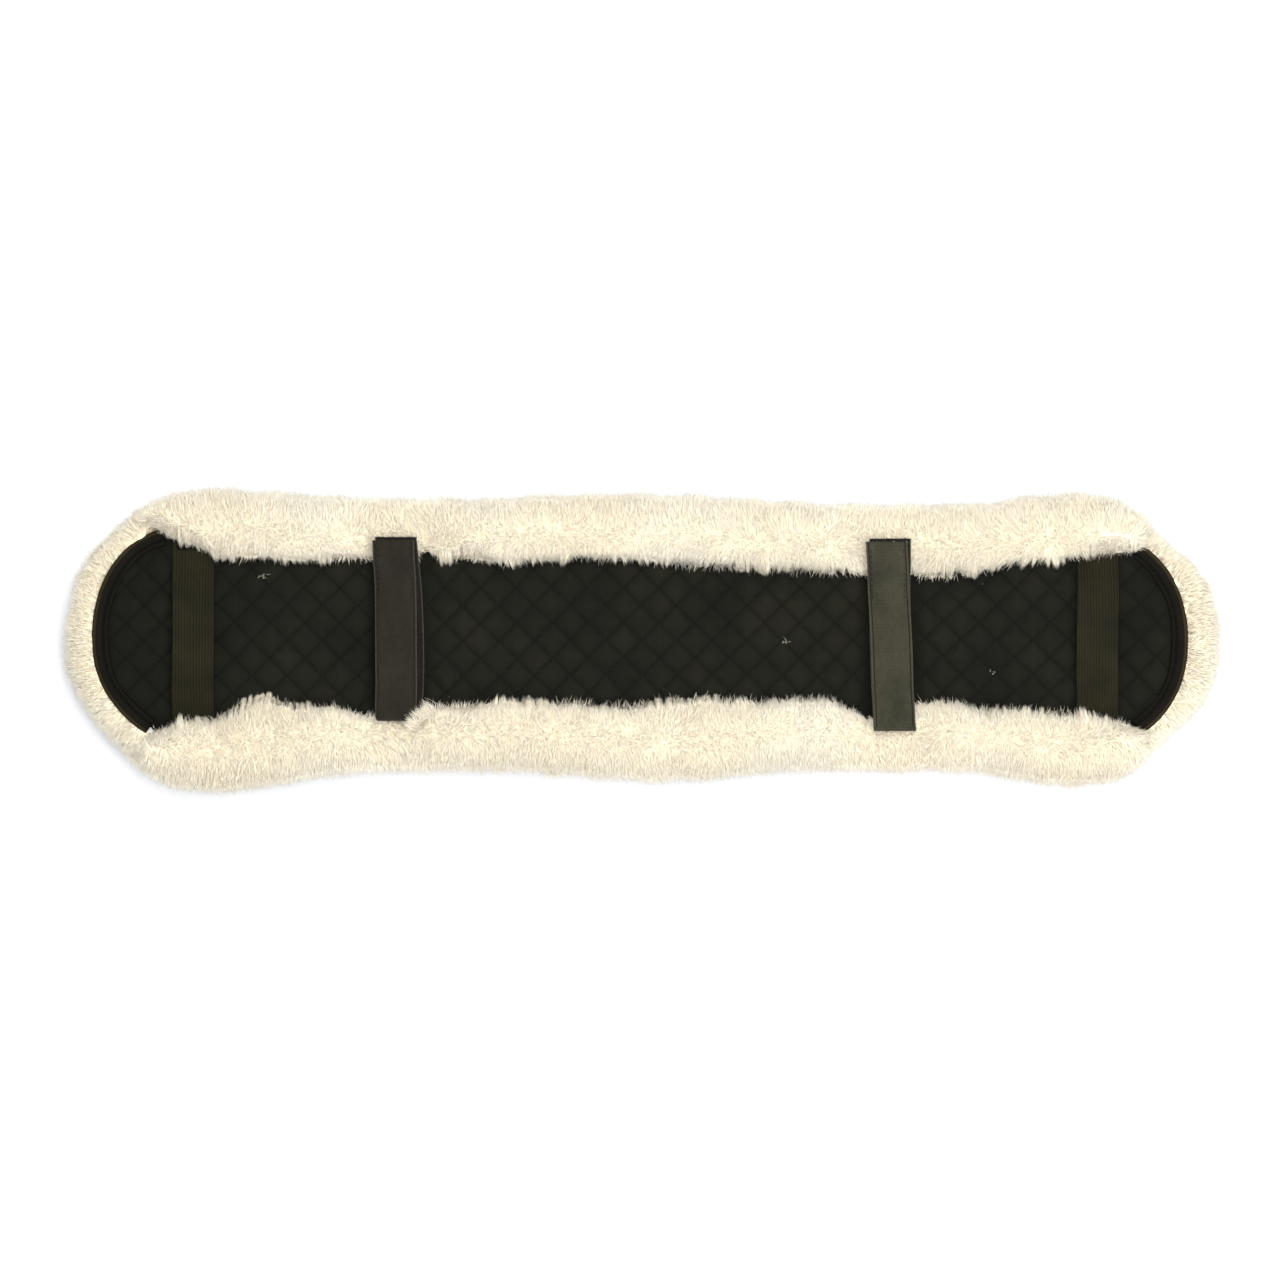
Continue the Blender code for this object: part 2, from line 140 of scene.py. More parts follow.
CROWN = 0.026  # how far in from the outline the rolls are highest
PILE_TOP_LIMIT = 0.0478
EDGE_COVER = 0.0022  # how far short of the fringe's tips the body stops
ROLL_BASE = -0.0019  # where the rolls start, from the quilting's underside
LIP_CLEAR = 0.0010  # how far above the skin's curled lip the lowest strands are rooted
TIP_CLEAR = 0.0006  # and how far above it they end
EDGE_GIVE = 0.014  # how far back from its edge the pile gives when it leans in
WISPS = 900  # on each side, before those under the straps are left out
OVERLAP_LOCKS = 300
FRINGE_STEP = 0.00024
LOBE_STEP = 0.0105
LOCK_STEP = 0.0030
FRINGE_ROWS = (  # how high and how far back from the edge each row is rooted
    (0.0008, 0.0030),
    (0.0020, 0.0040),
    (0.0034, 0.0052),
    (0.0050, 0.0068),
    (0.0068, 0.0088),
    (0.0086, 0.0110),
)

# Where the pile's edge strays from the rolls' own inner line: how far out, middle and spread
EDGE_BUMPS = {
    1: (
        (-0.0022, -0.245, 0.014),
        (0.0045, -0.172, 0.022),
        (0.0070, -0.131, 0.007),
        (0.0055, -0.112, 0.022),
        (0.0020, -0.045, 0.035),
        (-0.0027, 0.040, 0.030),
        (-0.0013, 0.112, 0.030),
        (-0.0031, 0.178, 0.022),
        (0.0022, 0.226, 0.014),
    ),
    -1: (
        (-0.0120, -0.232, 0.019),
        (0.0085, -0.166, 0.015),
        (0.0045, -0.118, 0.025),
        (-0.0025, -0.040, 0.012),
        (-0.0078, 0.028, 0.040),
        (-0.0015, 0.097, 0.012),
        (0.0020, 0.172, 0.012),
        (0.0040, 0.208, 0.014),
        (-0.0020, 0.258, 0.014),
    ),
}
# The same towards the rolls' ends: how far out, which end, start, length and power
EDGE_ENDS = {
    1: ((0.0195, -1, 0.250, 0.046, 1.5), (0.0110, 1, 0.252, 0.050, 1.3)),
    -1: ((0.0135, -1, 0.276, 0.021, 1.0), (0.0140, 1, 0.270, 0.032, 1.2)),
}

# Elastics
ELASTIC_TUCK = 0.006  # how much further they run under the wool than the CAD's
ELASTIC_GRID = (96, 84)  # points along and across
ELASTIC_THICKNESS = 0.00105
ELASTIC_RIBS = 14

# Straps
# The selvedge and the groove beside it, as shares of the width; the groove is darker, painted shade
STRAP_BANDS = ((0.0, 0.022), (0.055, 0.085))
STRAP_THICKNESS = 0.0011
STRAP_GRID = (120, 40)  # points along and across
TAPE_GRID = (34, 12)
HOOK_PITCH = 0.0014
LOOP_COUNT = 1500
FRAY_COUNT = 70
TACK_CROSSINGS = 26

# Binding
BINDING_REACH = {("left", 1): 0.0085, ("left", -1): 0.0, ("right", 1): 0.0, ("right", -1): 0.0}

SEED = 20261116

WHICH = ("left", "right")
SIDES = (1, -1)  # the far side and the near one
SIDE_NAMES = ((1, "far"), (-1, "near"))
XY, XZ = (0, 1), (0, 2)
ROOT_HALF = math.sqrt(0.5)


def note_bounds():
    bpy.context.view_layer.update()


note_bounds()


# ---- Shapes read from the frame ----


def mesh_points(mesh):
    points = np.empty(len(mesh.vertices) * 3)
    mesh.vertices.foreach_get("co", points)
    return points.reshape(-1, 3)


def node_points(name):
    return mesh_points(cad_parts[name].data)


def extremes(points, axes, pick):
    """The greatest or least value along one axis at each place along another, as two arrays."""
    places = {}
    for place, value in points[:, axes]:
        key = round(place, 5)
        places[key] = pick(places.get(key, value), value)
    keys = np.array(sorted(places))
    return keys, np.array([places[key] for key in keys])


class Outline:
    """The far and near edges of a node's plan, as functions of x."""

    def __init__(self, points):
        self.low_x = points[:, 0].min()
        self.high_x = points[:, 0].max()
        self.sides = {}
        for side in SIDES:
            half = points[points[:, 1] * side >= 0] * (1, side, 1)
            self.sides[side] = extremes(half, XY, max)

    def edge(self, x, side):
        return np.interp(x, *self.sides[side], left=0.0, right=0.0)


def widest_ring(points):
    """The points of the level at which the wool reaches furthest."""
    level = points[np.argmax(points[:, 0]), 2]
    return points[np.abs(points[:, 2] - level) < 0.0004]


wool_outline = Outline(widest_ring(node_points("fleece_underside")))
panel_outline = Outline(node_points("quilt_backing_cloth"))
FACE_LOW, FACE_TOP = (corner.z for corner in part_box("quilt_face_cloth"))
LIP_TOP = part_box("sheepskin_hide")[1].z
ROLL_LOW_X, ROLL_HIGH_X = (corner.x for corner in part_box("fleece_roll_far"))
ROLLS = {side: node_points(f"fleece_roll_{name}") for side, name in SIDE_NAMES}
ROLL_TIPS = {side: extremes(points * (1, side, 1), XY, min) for side, points in ROLLS.items()}
ROLL_TOPS = {side: extremes(points, XZ, max) for side, points in ROLLS.items()}


def roll_tip(x, side):
    """How far in over the panel a roll reaches."""
    return np.interp(x, *ROLL_TIPS[side])


def roll_height(x, side):
    """1 where the roll stands at its full height, less where a strap presses it down."""
    xs, tops = ROLL_TOPS[side]
    return (np.interp(x, xs, tops) - LIP_TOP) / (tops.max() - LIP_TOP)


class Strip:
    """A flat tape's edges and height along Y, read from its CAD node."""

    def __init__(self, name):
        points = node_points(name)
        self.y, self.left = extremes(points, (1, 0), min)
        self.right = extremes(points, (1, 0), max)[1]
        self.low = extremes(points, (1, 2), min)[1]
        self.high = extremes(points, (1, 2), max)[1]

    def lengthen(self, extra):
        """Carries both ends on, flat and straight."""
        self.y = np.concatenate([[self.y[0] - extra], self.y, [self.y[-1] + extra]])
        for name in ("left", "right", "low", "high"):
            values = getattr(self, name)
            setattr(self, name, np.concatenate([values[:1], values, values[-1:]]))

    def edges(self, y):
        return np.interp(y, self.y, self.left), np.interp(y, self.y, self.right)

    def bottom(self, y):
        return np.interp(y, self.y, self.low)

    def top(self, y):
        return np.interp(y, self.y, self.high)


# ---- Meshes and materials ----


def add_object(name, data):
    made = bpy.data.objects.new(name, data)
    bpy.context.scene.collection.objects.link(made)
    return made


def add_piece(name, mesh, materials, body):
    piece = add_object(name, mesh)
    for material in materials:
        mesh.materials.append(material)
    mesh.shade_smooth()
    if body:
        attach(piece, body)
    return piece


def make_piece(name, verts, faces, materials, body="pad"):
    """A mesh of faces with any number of corners, its normals turned outwards."""
    mesh = bpy.data.meshes.new(name)
    mesh.from_pydata([tuple(v) for v in verts], [], faces)
    shell = bmesh.new()
    shell.from_mesh(mesh)
    bmesh.ops.recalc_face_normals(shell, faces=shell.faces)
    shell.to_mesh(mesh)
    shell.free()
    return add_piece(name, mesh, materials, body)


def make_fast(name, verts, triangles, materials, body="pad", slots=None):
    """A mesh of very many triangles, filled from arrays."""
    mesh = bpy.data.meshes.new(name)
    mesh.vertices.add(len(verts))
    mesh.vertices.foreach_set("co", np.asarray(verts, np.float32).ravel())
    count = len(triangles)
    mesh.loops.add(count * 3)
    mesh.loops.foreach_set("vertex_index", np.asarray(triangles, np.int32).ravel())
    mesh.polygons.add(count)
    mesh.polygons.foreach_set("loop_start", np.arange(0, count * 3, 3, dtype=np.int32))
    mesh.polygons.foreach_set("loop_total", np.full(count, 3, np.int32))
    if slots is not None:
        mesh.polygons.foreach_set("material_index", np.asarray(slots, np.int32))
    mesh.update(calc_edges=True)
    mesh.validate()
    return add_piece(name, mesh, materials, body)


def linear(value):
    share = value / 255
    if share <= 0.04045:
        return share / 12.92
    return ((share + 0.055) / 1.055) ** 2.4


def rgb(colour):
    return (*(linear(c) for c in colour), 1.0)


class Shader:
    """A material being built: the Principled node and short ways to feed it."""

    def __init__(self, name, roughness=0.9, sheen=0.0):
        self.material = bpy.data.materials.new(name)
        self.material.use_nodes = True
        self.tree = self.material.node_tree
        self.main = self.tree.nodes["Principled BSDF"]
        self.place = self.node("ShaderNodeTexCoord", {}).outputs["Object"]
        self.surface("Roughness", roughness)
        self.surface("Metallic", 0.0)
        self.surface("Specular IOR Level", 0.07)
        self.surface("Sheen Weight", sheen)
        self.surface("Sheen Roughness", 0.5)

    def feed(self, socket, value):
        """Sets an input, or links it where the value is another node's output."""
        if isinstance(value, bpy.types.NodeSocket):
            self.tree.links.new(value, socket)
        else:
            socket.default_value = value

    def surface(self, name, value):
        self.feed(self.main.inputs[name], value)

    def node(self, kind, feeds, **settings):
        made = self.tree.nodes.new(kind)
        for key, value in settings.items():
            setattr(made, key, value)
        for key, value in feeds.items():
            self.feed(made.inputs[key], value)
        return made

    def scaled(self, scale):
        feeds = {"Scale": scale, "Vector": self.place}
        return self.node("ShaderNodeMapping", feeds).outputs["Vector"]

    def coordinate(self, axis):
        return self.node("ShaderNodeSeparateXYZ", {"Vector": self.place}).outputs[axis]

    def noise(self, scale, detail=3.0, vector=None, rough=0.5):
        feeds = {"Scale": scale, "Detail": detail, "Roughness": rough}
        feeds["Vector"] = vector or self.place
        return self.node("ShaderNodeTexNoise", feeds).outputs["Fac"]

    def wave(self, axis, period, distortion):
        """Even ridges across an axis, one for each period."""
        feeds = {
            "Scale": math.pi / (10 * period),
            "Distortion": distortion,
            "Detail": 1.0,
            "Detail Scale": 4.0,
            "Vector": self.place,
        }
        return self.node("ShaderNodeTexWave", feeds, bands_direction=axis).outputs["Fac"]

    def math(self, kind, a, b):
        return self.node("ShaderNodeMath", {0: a, 1: b}, operation=kind).outputs["Value"]

    def mixed(self, *parts):
        """The sum of two or more outputs, each with its weight."""
        total = None
        for out, weight in parts:
            part = self.math("MULTIPLY", out, weight)
            total = part if total is None else self.math("ADD", total, part)
        return total

    def ramp(self, fac, stops):
        made = self.node("ShaderNodeValToRGB", {"Fac": fac})
        ramp = made.color_ramp
        while len(ramp.elements) < len(stops):
            ramp.elements.new(0.5)
        for element, (place, colour) in zip(ramp.elements, stops):
            element.position = place
            element.color = rgb(colour)
        return made.outputs["Color"]

    def multiply(self, share, a, b):
        """Colour a, darkened by colour b as far as the share says."""
        feeds = {0: share, 6: a, 7: b}
        made = self.node("ShaderNodeMix", feeds, data_type="RGBA", blend_type="MULTIPLY")
        return made.outputs[2]

    def rough(self, fac, low, high):
        made = self.node("ShaderNodeMapRange", {"To Min": low, "To Max": high, "Value": fac})
        self.surface("Roughness", made.outputs["Result"])

    def bump(self, height, distance, strength=0.7):
        feeds = {"Distance": distance, "Strength": strength, "Height": height}
        self.surface("Normal", self.node("ShaderNodeBump", feeds).outputs["Normal"])


def wool_body_material():
    s = Shader("wool_pile", roughness=1.0, sheen=0.10)
    cloud = s.noise(38.0, 4.0)
    blotches = ((0.30, (236, 222, 190)), (0.50, (242, 229, 200)), (0.72, (247, 237, 212)))
    tone = s.ramp(cloud, blotches)
    fine = s.ramp(s.noise(900.0, 2.0), ((0.3, (228, 218, 196)), (0.7, (255, 252, 244))))
    s.surface("Base Color", s.multiply(0.25, tone, fine))
    s.bump(s.noise(650.0, 4.0, rough=0.65), 0.0010)
    return s.material


def wool_tones():
    tones = (
        ("wool_shade", (243, 233, 210)),
        ("wool_butter", (245, 236, 215)),
        ("wool_cream", (247, 240, 221)),
        ("wool_white", (249, 244, 229)),
        # Painted shade: a greyer tone for fringe and overlap strands that stand in shadow.
        ("wool_painted_shade_grey", (222, 215, 195)),
    )
    made = []
    for name, colour in tones:
        s = Shader(name, roughness=1.0, sheen=0.10)
        s.surface("Base Color", rgb(colour))
        made.append(s.material)
    return made


def quilt_material():
    s = Shader("quilt_cotton", roughness=0.85, sheen=0.03)
    s.surface("Specular IOR Level", 0.10)
    threads = s.math("MULTIPLY", *(s.wave(axis, 0.00052, 0.3) for axis in "XY"))
    s.bump(threads, 0.00012)
    cloud = s.noise(26.0, 4.0)
    tone = s.ramp(cloud, ((0.30, (18, 19, 12)), (0.52, (24, 25, 17)), (0.75, (30, 30, 20))))
    weave_shade = s.ramp(threads, ((0.0, (120, 118, 112)), (0.6, (255, 255, 255))))
    cloth = s.multiply(0.55, tone, weave_shade)
    # Painted shade in the quilting seams: the cloth is darker the lower it lies, down to the seams.
    seam = FACE_TOP - SEAM_DROP
    depth = s.math("DIVIDE", s.math("SUBTRACT", s.coordinate("Z"), seam), PUFF_LIMIT)
    seam_shade_stops = ((0.02, (198, 196, 188)), (0.35, (228, 227, 220)), (0.85, (250, 250, 245)))
    seam_shade = s.ramp(depth, seam_shade_stops)
    along = s.math("ADD", s.math("MULTIPLY", s.coordinate("X"), 1.4), 0.5)
    shade = (
        (0.085, (206, 205, 201)),
        (0.115, (255, 255, 255)),
        (0.885, (255, 255, 255)),
        (0.915, (232, 231, 228)),
    )
    ends = s.ramp(along, shade)
    s.surface("Base Color", s.multiply(1.0, s.multiply(1.0, cloth, seam_shade), ends))
    s.rough(s.noise(160.0, 2.0), 0.74, 0.94)
    return s.material


def tape_material(name, dark, light, period, sheen=0.25):
    """Narrow woven tape with ribs along it and a finer weft across."""
    s = Shader(name, roughness=0.8, sheen=sheen)
    warp = s.wave("X", period, 0.25)
    weft = s.wave("Y", period * 0.62, 0.4)
    threads = s.mixed((warp, 0.65), (weft, 0.35))
    s.bump(threads, 0.00016, 0.8)
    cloud = s.noise(55.0, 4.0)
    tone = s.mixed((cloud, 0.6), (threads, 0.4))
    s.surface("Base Color", s.ramp(tone, ((0.30, dark), (0.72, light))))
    s.rough(s.noise(220.0, 2.0), 0.66, 0.90)
    return s.material


def strap_material(name, dark, light):
    """Hook-and-loop strap: a short nap brushed along its length over a close weave."""
    s = Shader(name, roughness=0.9, sheen=0.10)
    nap = s.noise(420.0, 4.0, s.scaled((1.0, 0.45, 1.0)), rough=0.7)
    weft = s.wave("Y", 0.00085, 1.2)
    cloud = s.noise(70.0, 3.0, s.scaled((1.0, 0.5, 1.0)))
    tone = s.mixed((cloud, 0.5), (nap, 0.35), (weft, 0.15))
    s.surface("Base Color", s.ramp(tone, ((0.32, dark), (0.68, light))))
    s.bump(s.math("ADD", nap, s.math("MULTIPLY", weft, 0.4)), 0.00022, 0.8)
    return s.material


def plain_detail(name, dark, light, scale, bump_depth, roughness=0.9, sheen=0.1):
    """A fine-grained surface, for thread, suede, wadding and the like."""
    s = Shader(name, roughness=roughness, sheen=sheen)
    s.surface("Base Color", s.ramp(s.noise(scale, 4.0, rough=0.6), ((0.3, dark), (0.7, light))))
    s.bump(s.noise(scale * 2.2, 3.0), bump_depth)
    return s.material


# ---- Stage ----


def make_stage():
    scene = bpy.context.scene
    scene.view_settings.view_transform = "Standard"
    bpy.ops.mesh.primitive_plane_add(size=FLOOR_SIZE, location=(0.0, 0.0, -0.0004))
    floor = bpy.context.object
    floor.name = "floor"
    s = Shader("pale_floor", roughness=0.95)
    s.surface("Base Color", FLOOR_COLOUR)
    s.surface("Specular IOR Level", 0.0)
    floor.data.materials.append(s.material)

    world = bpy.data.worlds.new("studio")
    scene.world = world
    world.use_nodes = True
    sky = world.node_tree.nodes["Background"]
    sky.inputs["Color"].default_value = SKY_COLOUR
    sky.inputs["Strength"].default_value = SKY_STRENGTH
    for light in LIGHTS:
        add_light(*light)

    data = bpy.data.cameras.new("camera")
    data.lens = LENS
    data.sensor_width = SENSOR
    camera = add_object("camera", data)
    distance = FRAME_WIDTH * LENS / SENSOR
    camera.location = (-FRAME_SHIFT, 0.0, distance + FACE_TOP)
    data.clip_end = 100.0
    scene.camera = camera


def add_light(name, place, size, watts):
    data = bpy.data.lights.new(name, "AREA")
    data.shape = "DISK"
    data.size = size
    data.energy = watts
    data.color = LIGHT_COLOUR
    light = add_object(name, data)
    light.location = place
    light.rotation_mode = "QUATERNION"
    light.rotation_quaternion = Vector(place).to_track_quat("Z", "Y")


# ---- Wool ----


def swirl(points, scale, seed):
    """A smooth field of three values in -1 to 1, the same wherever it is asked for."""
    rng = np.random.default_rng(seed)
    out = np.zeros((len(points), 3))
    for axis in range(3):
        for _ in range(5):
            wave = rng.normal(size=3) / scale
            out[:, axis] += np.sin(points @ wave + rng.uniform(0, 2 * math.pi))
    return out / 2.6


def ripples(points, *waves):
    """Swirls added up, each given by its scale, its seed and its height."""
    return sum(swirl(points, scale, SEED + seed)[:, 0] * height for scale, seed, height in waves)


def unit(vectors):
    return vectors / np.maximum(np.linalg.norm(vectors, axis=1, keepdims=True), 1e-9)


def bump(x, middle, spread):
    return np.exp(-(((x - middle) / spread) ** 2))


def rise_over(x, start, length):
    return np.clip((x - start) / length, 0.0, 1.0)


def side_of(points):
    return np.where(points[:, 1] >= 0, 1, -1)


def both_sides(function, x, side):
    """A function of x and side, for points some of which lie on each side."""
    return np.where(side > 0, function(x, 1), function(x, -1))


def outward_fullness(points):
    """How much the pile stands out at the corners, 0 to 1."""
    far = points[:, 1] > 0
    level = rise_over(np.abs(points[:, 1]), 0.055, 0.015) * (points[:, 2] > 0.004)
    right, left = (
        bump(points[:, 0] * end, CORNER_X, spread) for end, spread in zip((1, -1), CORNER_SPREADS)
    )
    return level * np.where(far, right + FAR_LEFT_SHARE * left, right + left)


def above_panel(points):
    """True for the parts of the rolls that stand above the quilting."""
    over = (points[:, 2] > FACE_LOW + ROLL_BASE) & (np.abs(points[:, 1]) > 0.02)
    return over & (points[:, 0] > ROLL_LOW_X - 0.0025) & (points[:, 0] < ROLL_HIGH_X + 0.0025)


def lean_in(points):
    """Brings a roll's wall in over the panel where the pile leans past the CAD's roll."""
    side = side_of(points)
    tip = both_sides(roll_tip, points[:, 0], side)
    past = np.maximum(tip - both_sides(inner_edge, points[:, 0], side) - EDGE_COVER, 0.0)
    share = np.clip(1 - (np.abs(points[:, 1]) - tip) / EDGE_GIVE, 0.0, 1.0)
    points[:, 1] -= side * past * share * above_panel(points)


def draw_back(points):
    """Moves what lies over the panel out past the edge that the pile keeps to there."""
    side = side_of(points)
    edge = both_sides(inner_edge, points[:, 0], side)
    drawn = rise_over(edge - both_sides(roll_tip, points[:, 0], side), 0.0, 0.004)
    slope = drawn * 0.75 * np.clip(points[:, 2] - LIP_TOP - LIP_CLEAR, 0.0, 0.0120)
    limit = edge + EDGE_COVER + slope
    push = np.maximum(limit - np.abs(points[:, 1]), 0.0)
    points[:, 1] += side * push * above_panel(points)


def make_hide(material):
    """The skin the wool grows from, its curled edges drawn back with the pile."""
    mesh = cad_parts["sheepskin_hide"].data.copy()
    piece = add_object("hide", mesh)
    points = mesh_points(mesh)
    draw_back(points)
    mesh.vertices.foreach_set("co", points.astype(np.float32).ravel())
    mesh.update()
    mesh.materials.clear()
    mesh.materials.append(material)
    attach(piece, "pad")
    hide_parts("sheepskin_hide")


def joined_wool():
    """The wool nodes and what they wrap, remeshed into one closed body."""
    shell = bmesh.new()
    for name in WOOL_NODES + WRAPPED_NODES:
        shell.from_mesh(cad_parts[name].data)
    mesh = bpy.data.meshes.new("wool_body")
    shell.to_mesh(mesh)
    shell.free()
    piece = add_object("wool_body", mesh)
    grow = piece.modifiers.new("close", "REMESH")
    grow.mode = "VOXEL"
    grow.voxel_size = BODY_VOXEL
    bpy.context.view_layer.update()
    depsgraph = bpy.context.evaluated_depsgraph_get()
    solid = bpy.data.meshes.new_from_object(piece.evaluated_get(depsgraph))
    piece.modifiers.clear()
    piece.data = solid
    return piece


def drawn_in(points, normals):
    """The joined wool's points, moved in to leave room for the strands that lie over them."""
    lumps = ripples(points, (0.009, 1, 0.0007), (0.0035, 2, 0.0003))
    fuller = CORNER_FULLNESS * outward_fullness(points)
    outward = np.clip(normals[:, 0] * np.sign(points[:, 0]), 0.0, 1.0)
    at_tips = rise_over(np.abs(points[:, 0]), 0.325, 0.015)
    fuller += outward * at_tips * np.where(points[:, 0] > 0, *TIP_FULLNESS)
    facing_down = np.clip(-normals[:, 2] * 2.0 - 0.6, 0.0, 1.0) * (points[:, 2] < 0.012)
    draw = (BODY_INSET - lumps - fuller) * (1 - facing_down)
    draw += (UNDER_INSET - lumps * 0.6) * facing_down
    moved = points - normals * draw[:, None]
    lean_in(moved)
    draw_back(moved)
    moved[:, 2] = np.maximum(moved[:, 2], BODY_FLOOR)
    return moved


def make_wool_body(material):
    """One body under the strands, smoothed and drawn in a little."""
    piece = joined_wool()
    solid = piece.data
    shell = bmesh.new()
    shell.from_mesh(solid)
    for _ in range(4):
        axes = {"use_axis_x": True, "use_axis_y": True, "use_axis_z": True}
        bmesh.ops.smooth_vert(shell, verts=shell.verts, factor=0.5, **axes)
    shell.normal_update()
    points = np.array([v.co for v in shell.verts])
    normals = np.array([v.normal for v in shell.verts])
    for vert, place in zip(shell.verts, drawn_in(points, normals)):
        vert.co = place
    shell.to_mesh(solid)
    shell.free()
    solid.materials.clear()
    solid.materials.append(material)
    solid.shade_smooth()
    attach(piece, "pad")
    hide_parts(*WOOL_NODES)
    return piece


def pile_flow(points, normals):
    """Which way the pile lies: in over the panel, out over the sides and down them."""
    side = side_of(points)
    crown = both_sides(wool_outline.edge, points[:, 0], side) - CROWN
    across = np.clip((np.abs(points[:, 1]) - crown) / 0.014, -1.0, 1.0)
    flow = np.zeros_like(points)
    flow[:, 1] = side * across
    flow[:, 2] = np.where(across > 0, -0.9, 0.35) * across
    past = rise_over(np.abs(points[:, 0]), END_X, 0.012)[:, None]
    radial = unit(points - stacked(np.sign(points[:, 0]) * FAN_X, 0.0, points[:, 2]))
    radial[:, 2] = -0.5
    flow = flow * (1 - past) + radial * past
    flow = flow * (normals[:, 2] > -0.4)[:, None]
    flow += swirl(points, 0.016, SEED + 3) * 0.26 + swirl(points, 0.005, SEED + 4) * 0.14
    parting = (1 - np.clip(np.abs(across) / 0.75, 0, 1))[:, None] * (1 - past)
    anyway = np.random.default_rng(SEED + 6).normal(size=points.shape)
    flow += unit(anyway) * (0.10 + 0.60 * parting)
    tangent = flow - normals * np.sum(flow * normals, axis=1, keepdims=True)
    return unit(tangent)


def tube_walls(rings, corners):
    """The triangles of a tube's wall, for points numbered ring by ring."""
    walls = []
    for k in range(rings - 1):
        for c in range(corners):
            a, b = k * corners + c, k * corners + (c + 1) % corners
            walls += [(a, b, b + corners), (a, b + corners, a + corners)]
    return walls


def repeated(pattern, count, points_each):
    """The same triangles for each of many shapes that follow one another in a mesh."""
    return (np.arange(count)[:, None, None] * points_each + np.array(pattern)[None]).reshape(-1, 3)


def tufts(roots, directions, lengths, radii, droop, rng, rings=3, curl=0.10):
    """Closed tapering locks, each a bent three-sided spike from a root along a direction."""
    count = len(roots)
    directions = unit(directions)
    helper = unit(rng.normal(size=(count, 3)))
    across = unit(np.cross(directions, helper))
    other = np.cross(directions, across)
    phase = rng.uniform(0, 2 * math.pi, count)
    corners = 3
    levels = []
    for k in range(rings + 1):
        t = k / rings
        centre = roots + directions * (lengths * t)[:, None] + droop * (lengths * t * t)[:, None]
        centre = centre + across * (np.sin(phase + t * 4.0) * lengths * curl * t)[:, None]
        if k == rings:
            levels.append(centre)
            break
        width = radii * (1 - t) ** 0.75
        for c in range(corners):
            angle = 2 * math.pi * c / corners + t * 1.2
            outwards = across * math.cos(angle) + other * math.sin(angle)
            levels.append(centre + outwards * width[:, None])
    verts = np.stack(levels, 1).reshape(-1, 3)
    last = (rings - 1) * corners
    point = [(last + c, last + (c + 1) % corners, len(levels) - 1) for c in range(corners)]
    pattern = [(2, 1, 0)] + tube_walls(rings, corners) + point
    return verts, repeated(pattern, count, len(levels)), len(pattern)


def plant(name, strands, rng, materials, slot="wool", body="pad", tone_at=None, painted_shade=None, **form):
    """A piece of many strands: their roots, directions, lengths, radii and droop.

    Wool tones come in blotches; a mask or a share gives strands the greyer tone, painted shade.
    """
    verts, triangles, each = tufts(*strands, rng, **form)
    verts[:, 2] = np.maximum(verts[:, 2], STRAND_FLOOR)
    slots = None
    if len(materials) > 1:
        slots = blotch_slots(strands[0] if tone_at is None else tone_at, each, rng)
        if painted_shade is not None:
            chosen = rng.random(len(strands[0])) < painted_shade if isinstance(painted_shade, float) else painted_shade
            slots[np.repeat(chosen, each)] = len(materials) - 1
    piece = make_fast(name, verts, triangles, materials, body, slots)


def stacked(*values):
    """One row for each strand, from three values or arrays of them."""
    return np.stack(np.broadcast_arrays(*values), 1)


def surface_samples(piece, area_each, rng):
    """Points spread evenly over a mesh, with their normals."""
    mesh = piece.data
    mesh.calc_loop_triangles()
    points = mesh_points(mesh)
    corners = np.empty(len(mesh.loop_triangles) * 3, np.int32)
    mesh.loop_triangles.foreach_get("vertices", corners)
    a, b, c = (points[corners.reshape(-1, 3)[:, i]] for i in range(3))
    cross = np.cross(b - a, c - a)
    area = np.linalg.norm(cross, axis=1) / 2
    count = int(area.sum() / area_each)
    chosen = rng.choice(len(area), size=count, p=area / area.sum())
    u, v = rng.random(count), rng.random(count)
    flip = u + v > 1
    u[flip], v[flip] = 1 - u[flip], 1 - v[flip]
    spots = a[chosen] + (b - a)[chosen] * u[:, None] + (c - a)[chosen] * v[:, None]
    return spots, unit(cross)[chosen]


def over_panel(points, margin):
    """True where a point lies over the part of the panel that shows."""
    side = side_of(points)
    within = np.clip(points[:, 0], ROLL_LOW_X, ROLL_HIGH_X)
    edge = both_sides(inner_edge, within, side)
    panel = both_sides(panel_outline.edge, points[:, 0], side)
    past = rise_over(np.abs(points[:, 0] - within), 0.0025, 0.0040)
    limit = edge + (panel - edge) * past + margin
    past_left = points[:, 0] <= panel_outline.low_x - margin
    past_right = points[:, 0] >= panel_outline.high_x + margin
    return ~past_left & ~past_right & (np.abs(points[:, 1]) < limit)


def blotch_slots(roots, each, rng):
    """A tone for each strand, in soft blotches a few centimetres wide."""
    cloud = swirl(roots, 0.020, SEED + 5)[:, 0] * 0.40 + rng.normal(0, 0.40, len(roots))
    slots = np.digitize(cloud, (-0.75, -0.15, 0.45))
    return np.repeat(slots, each)


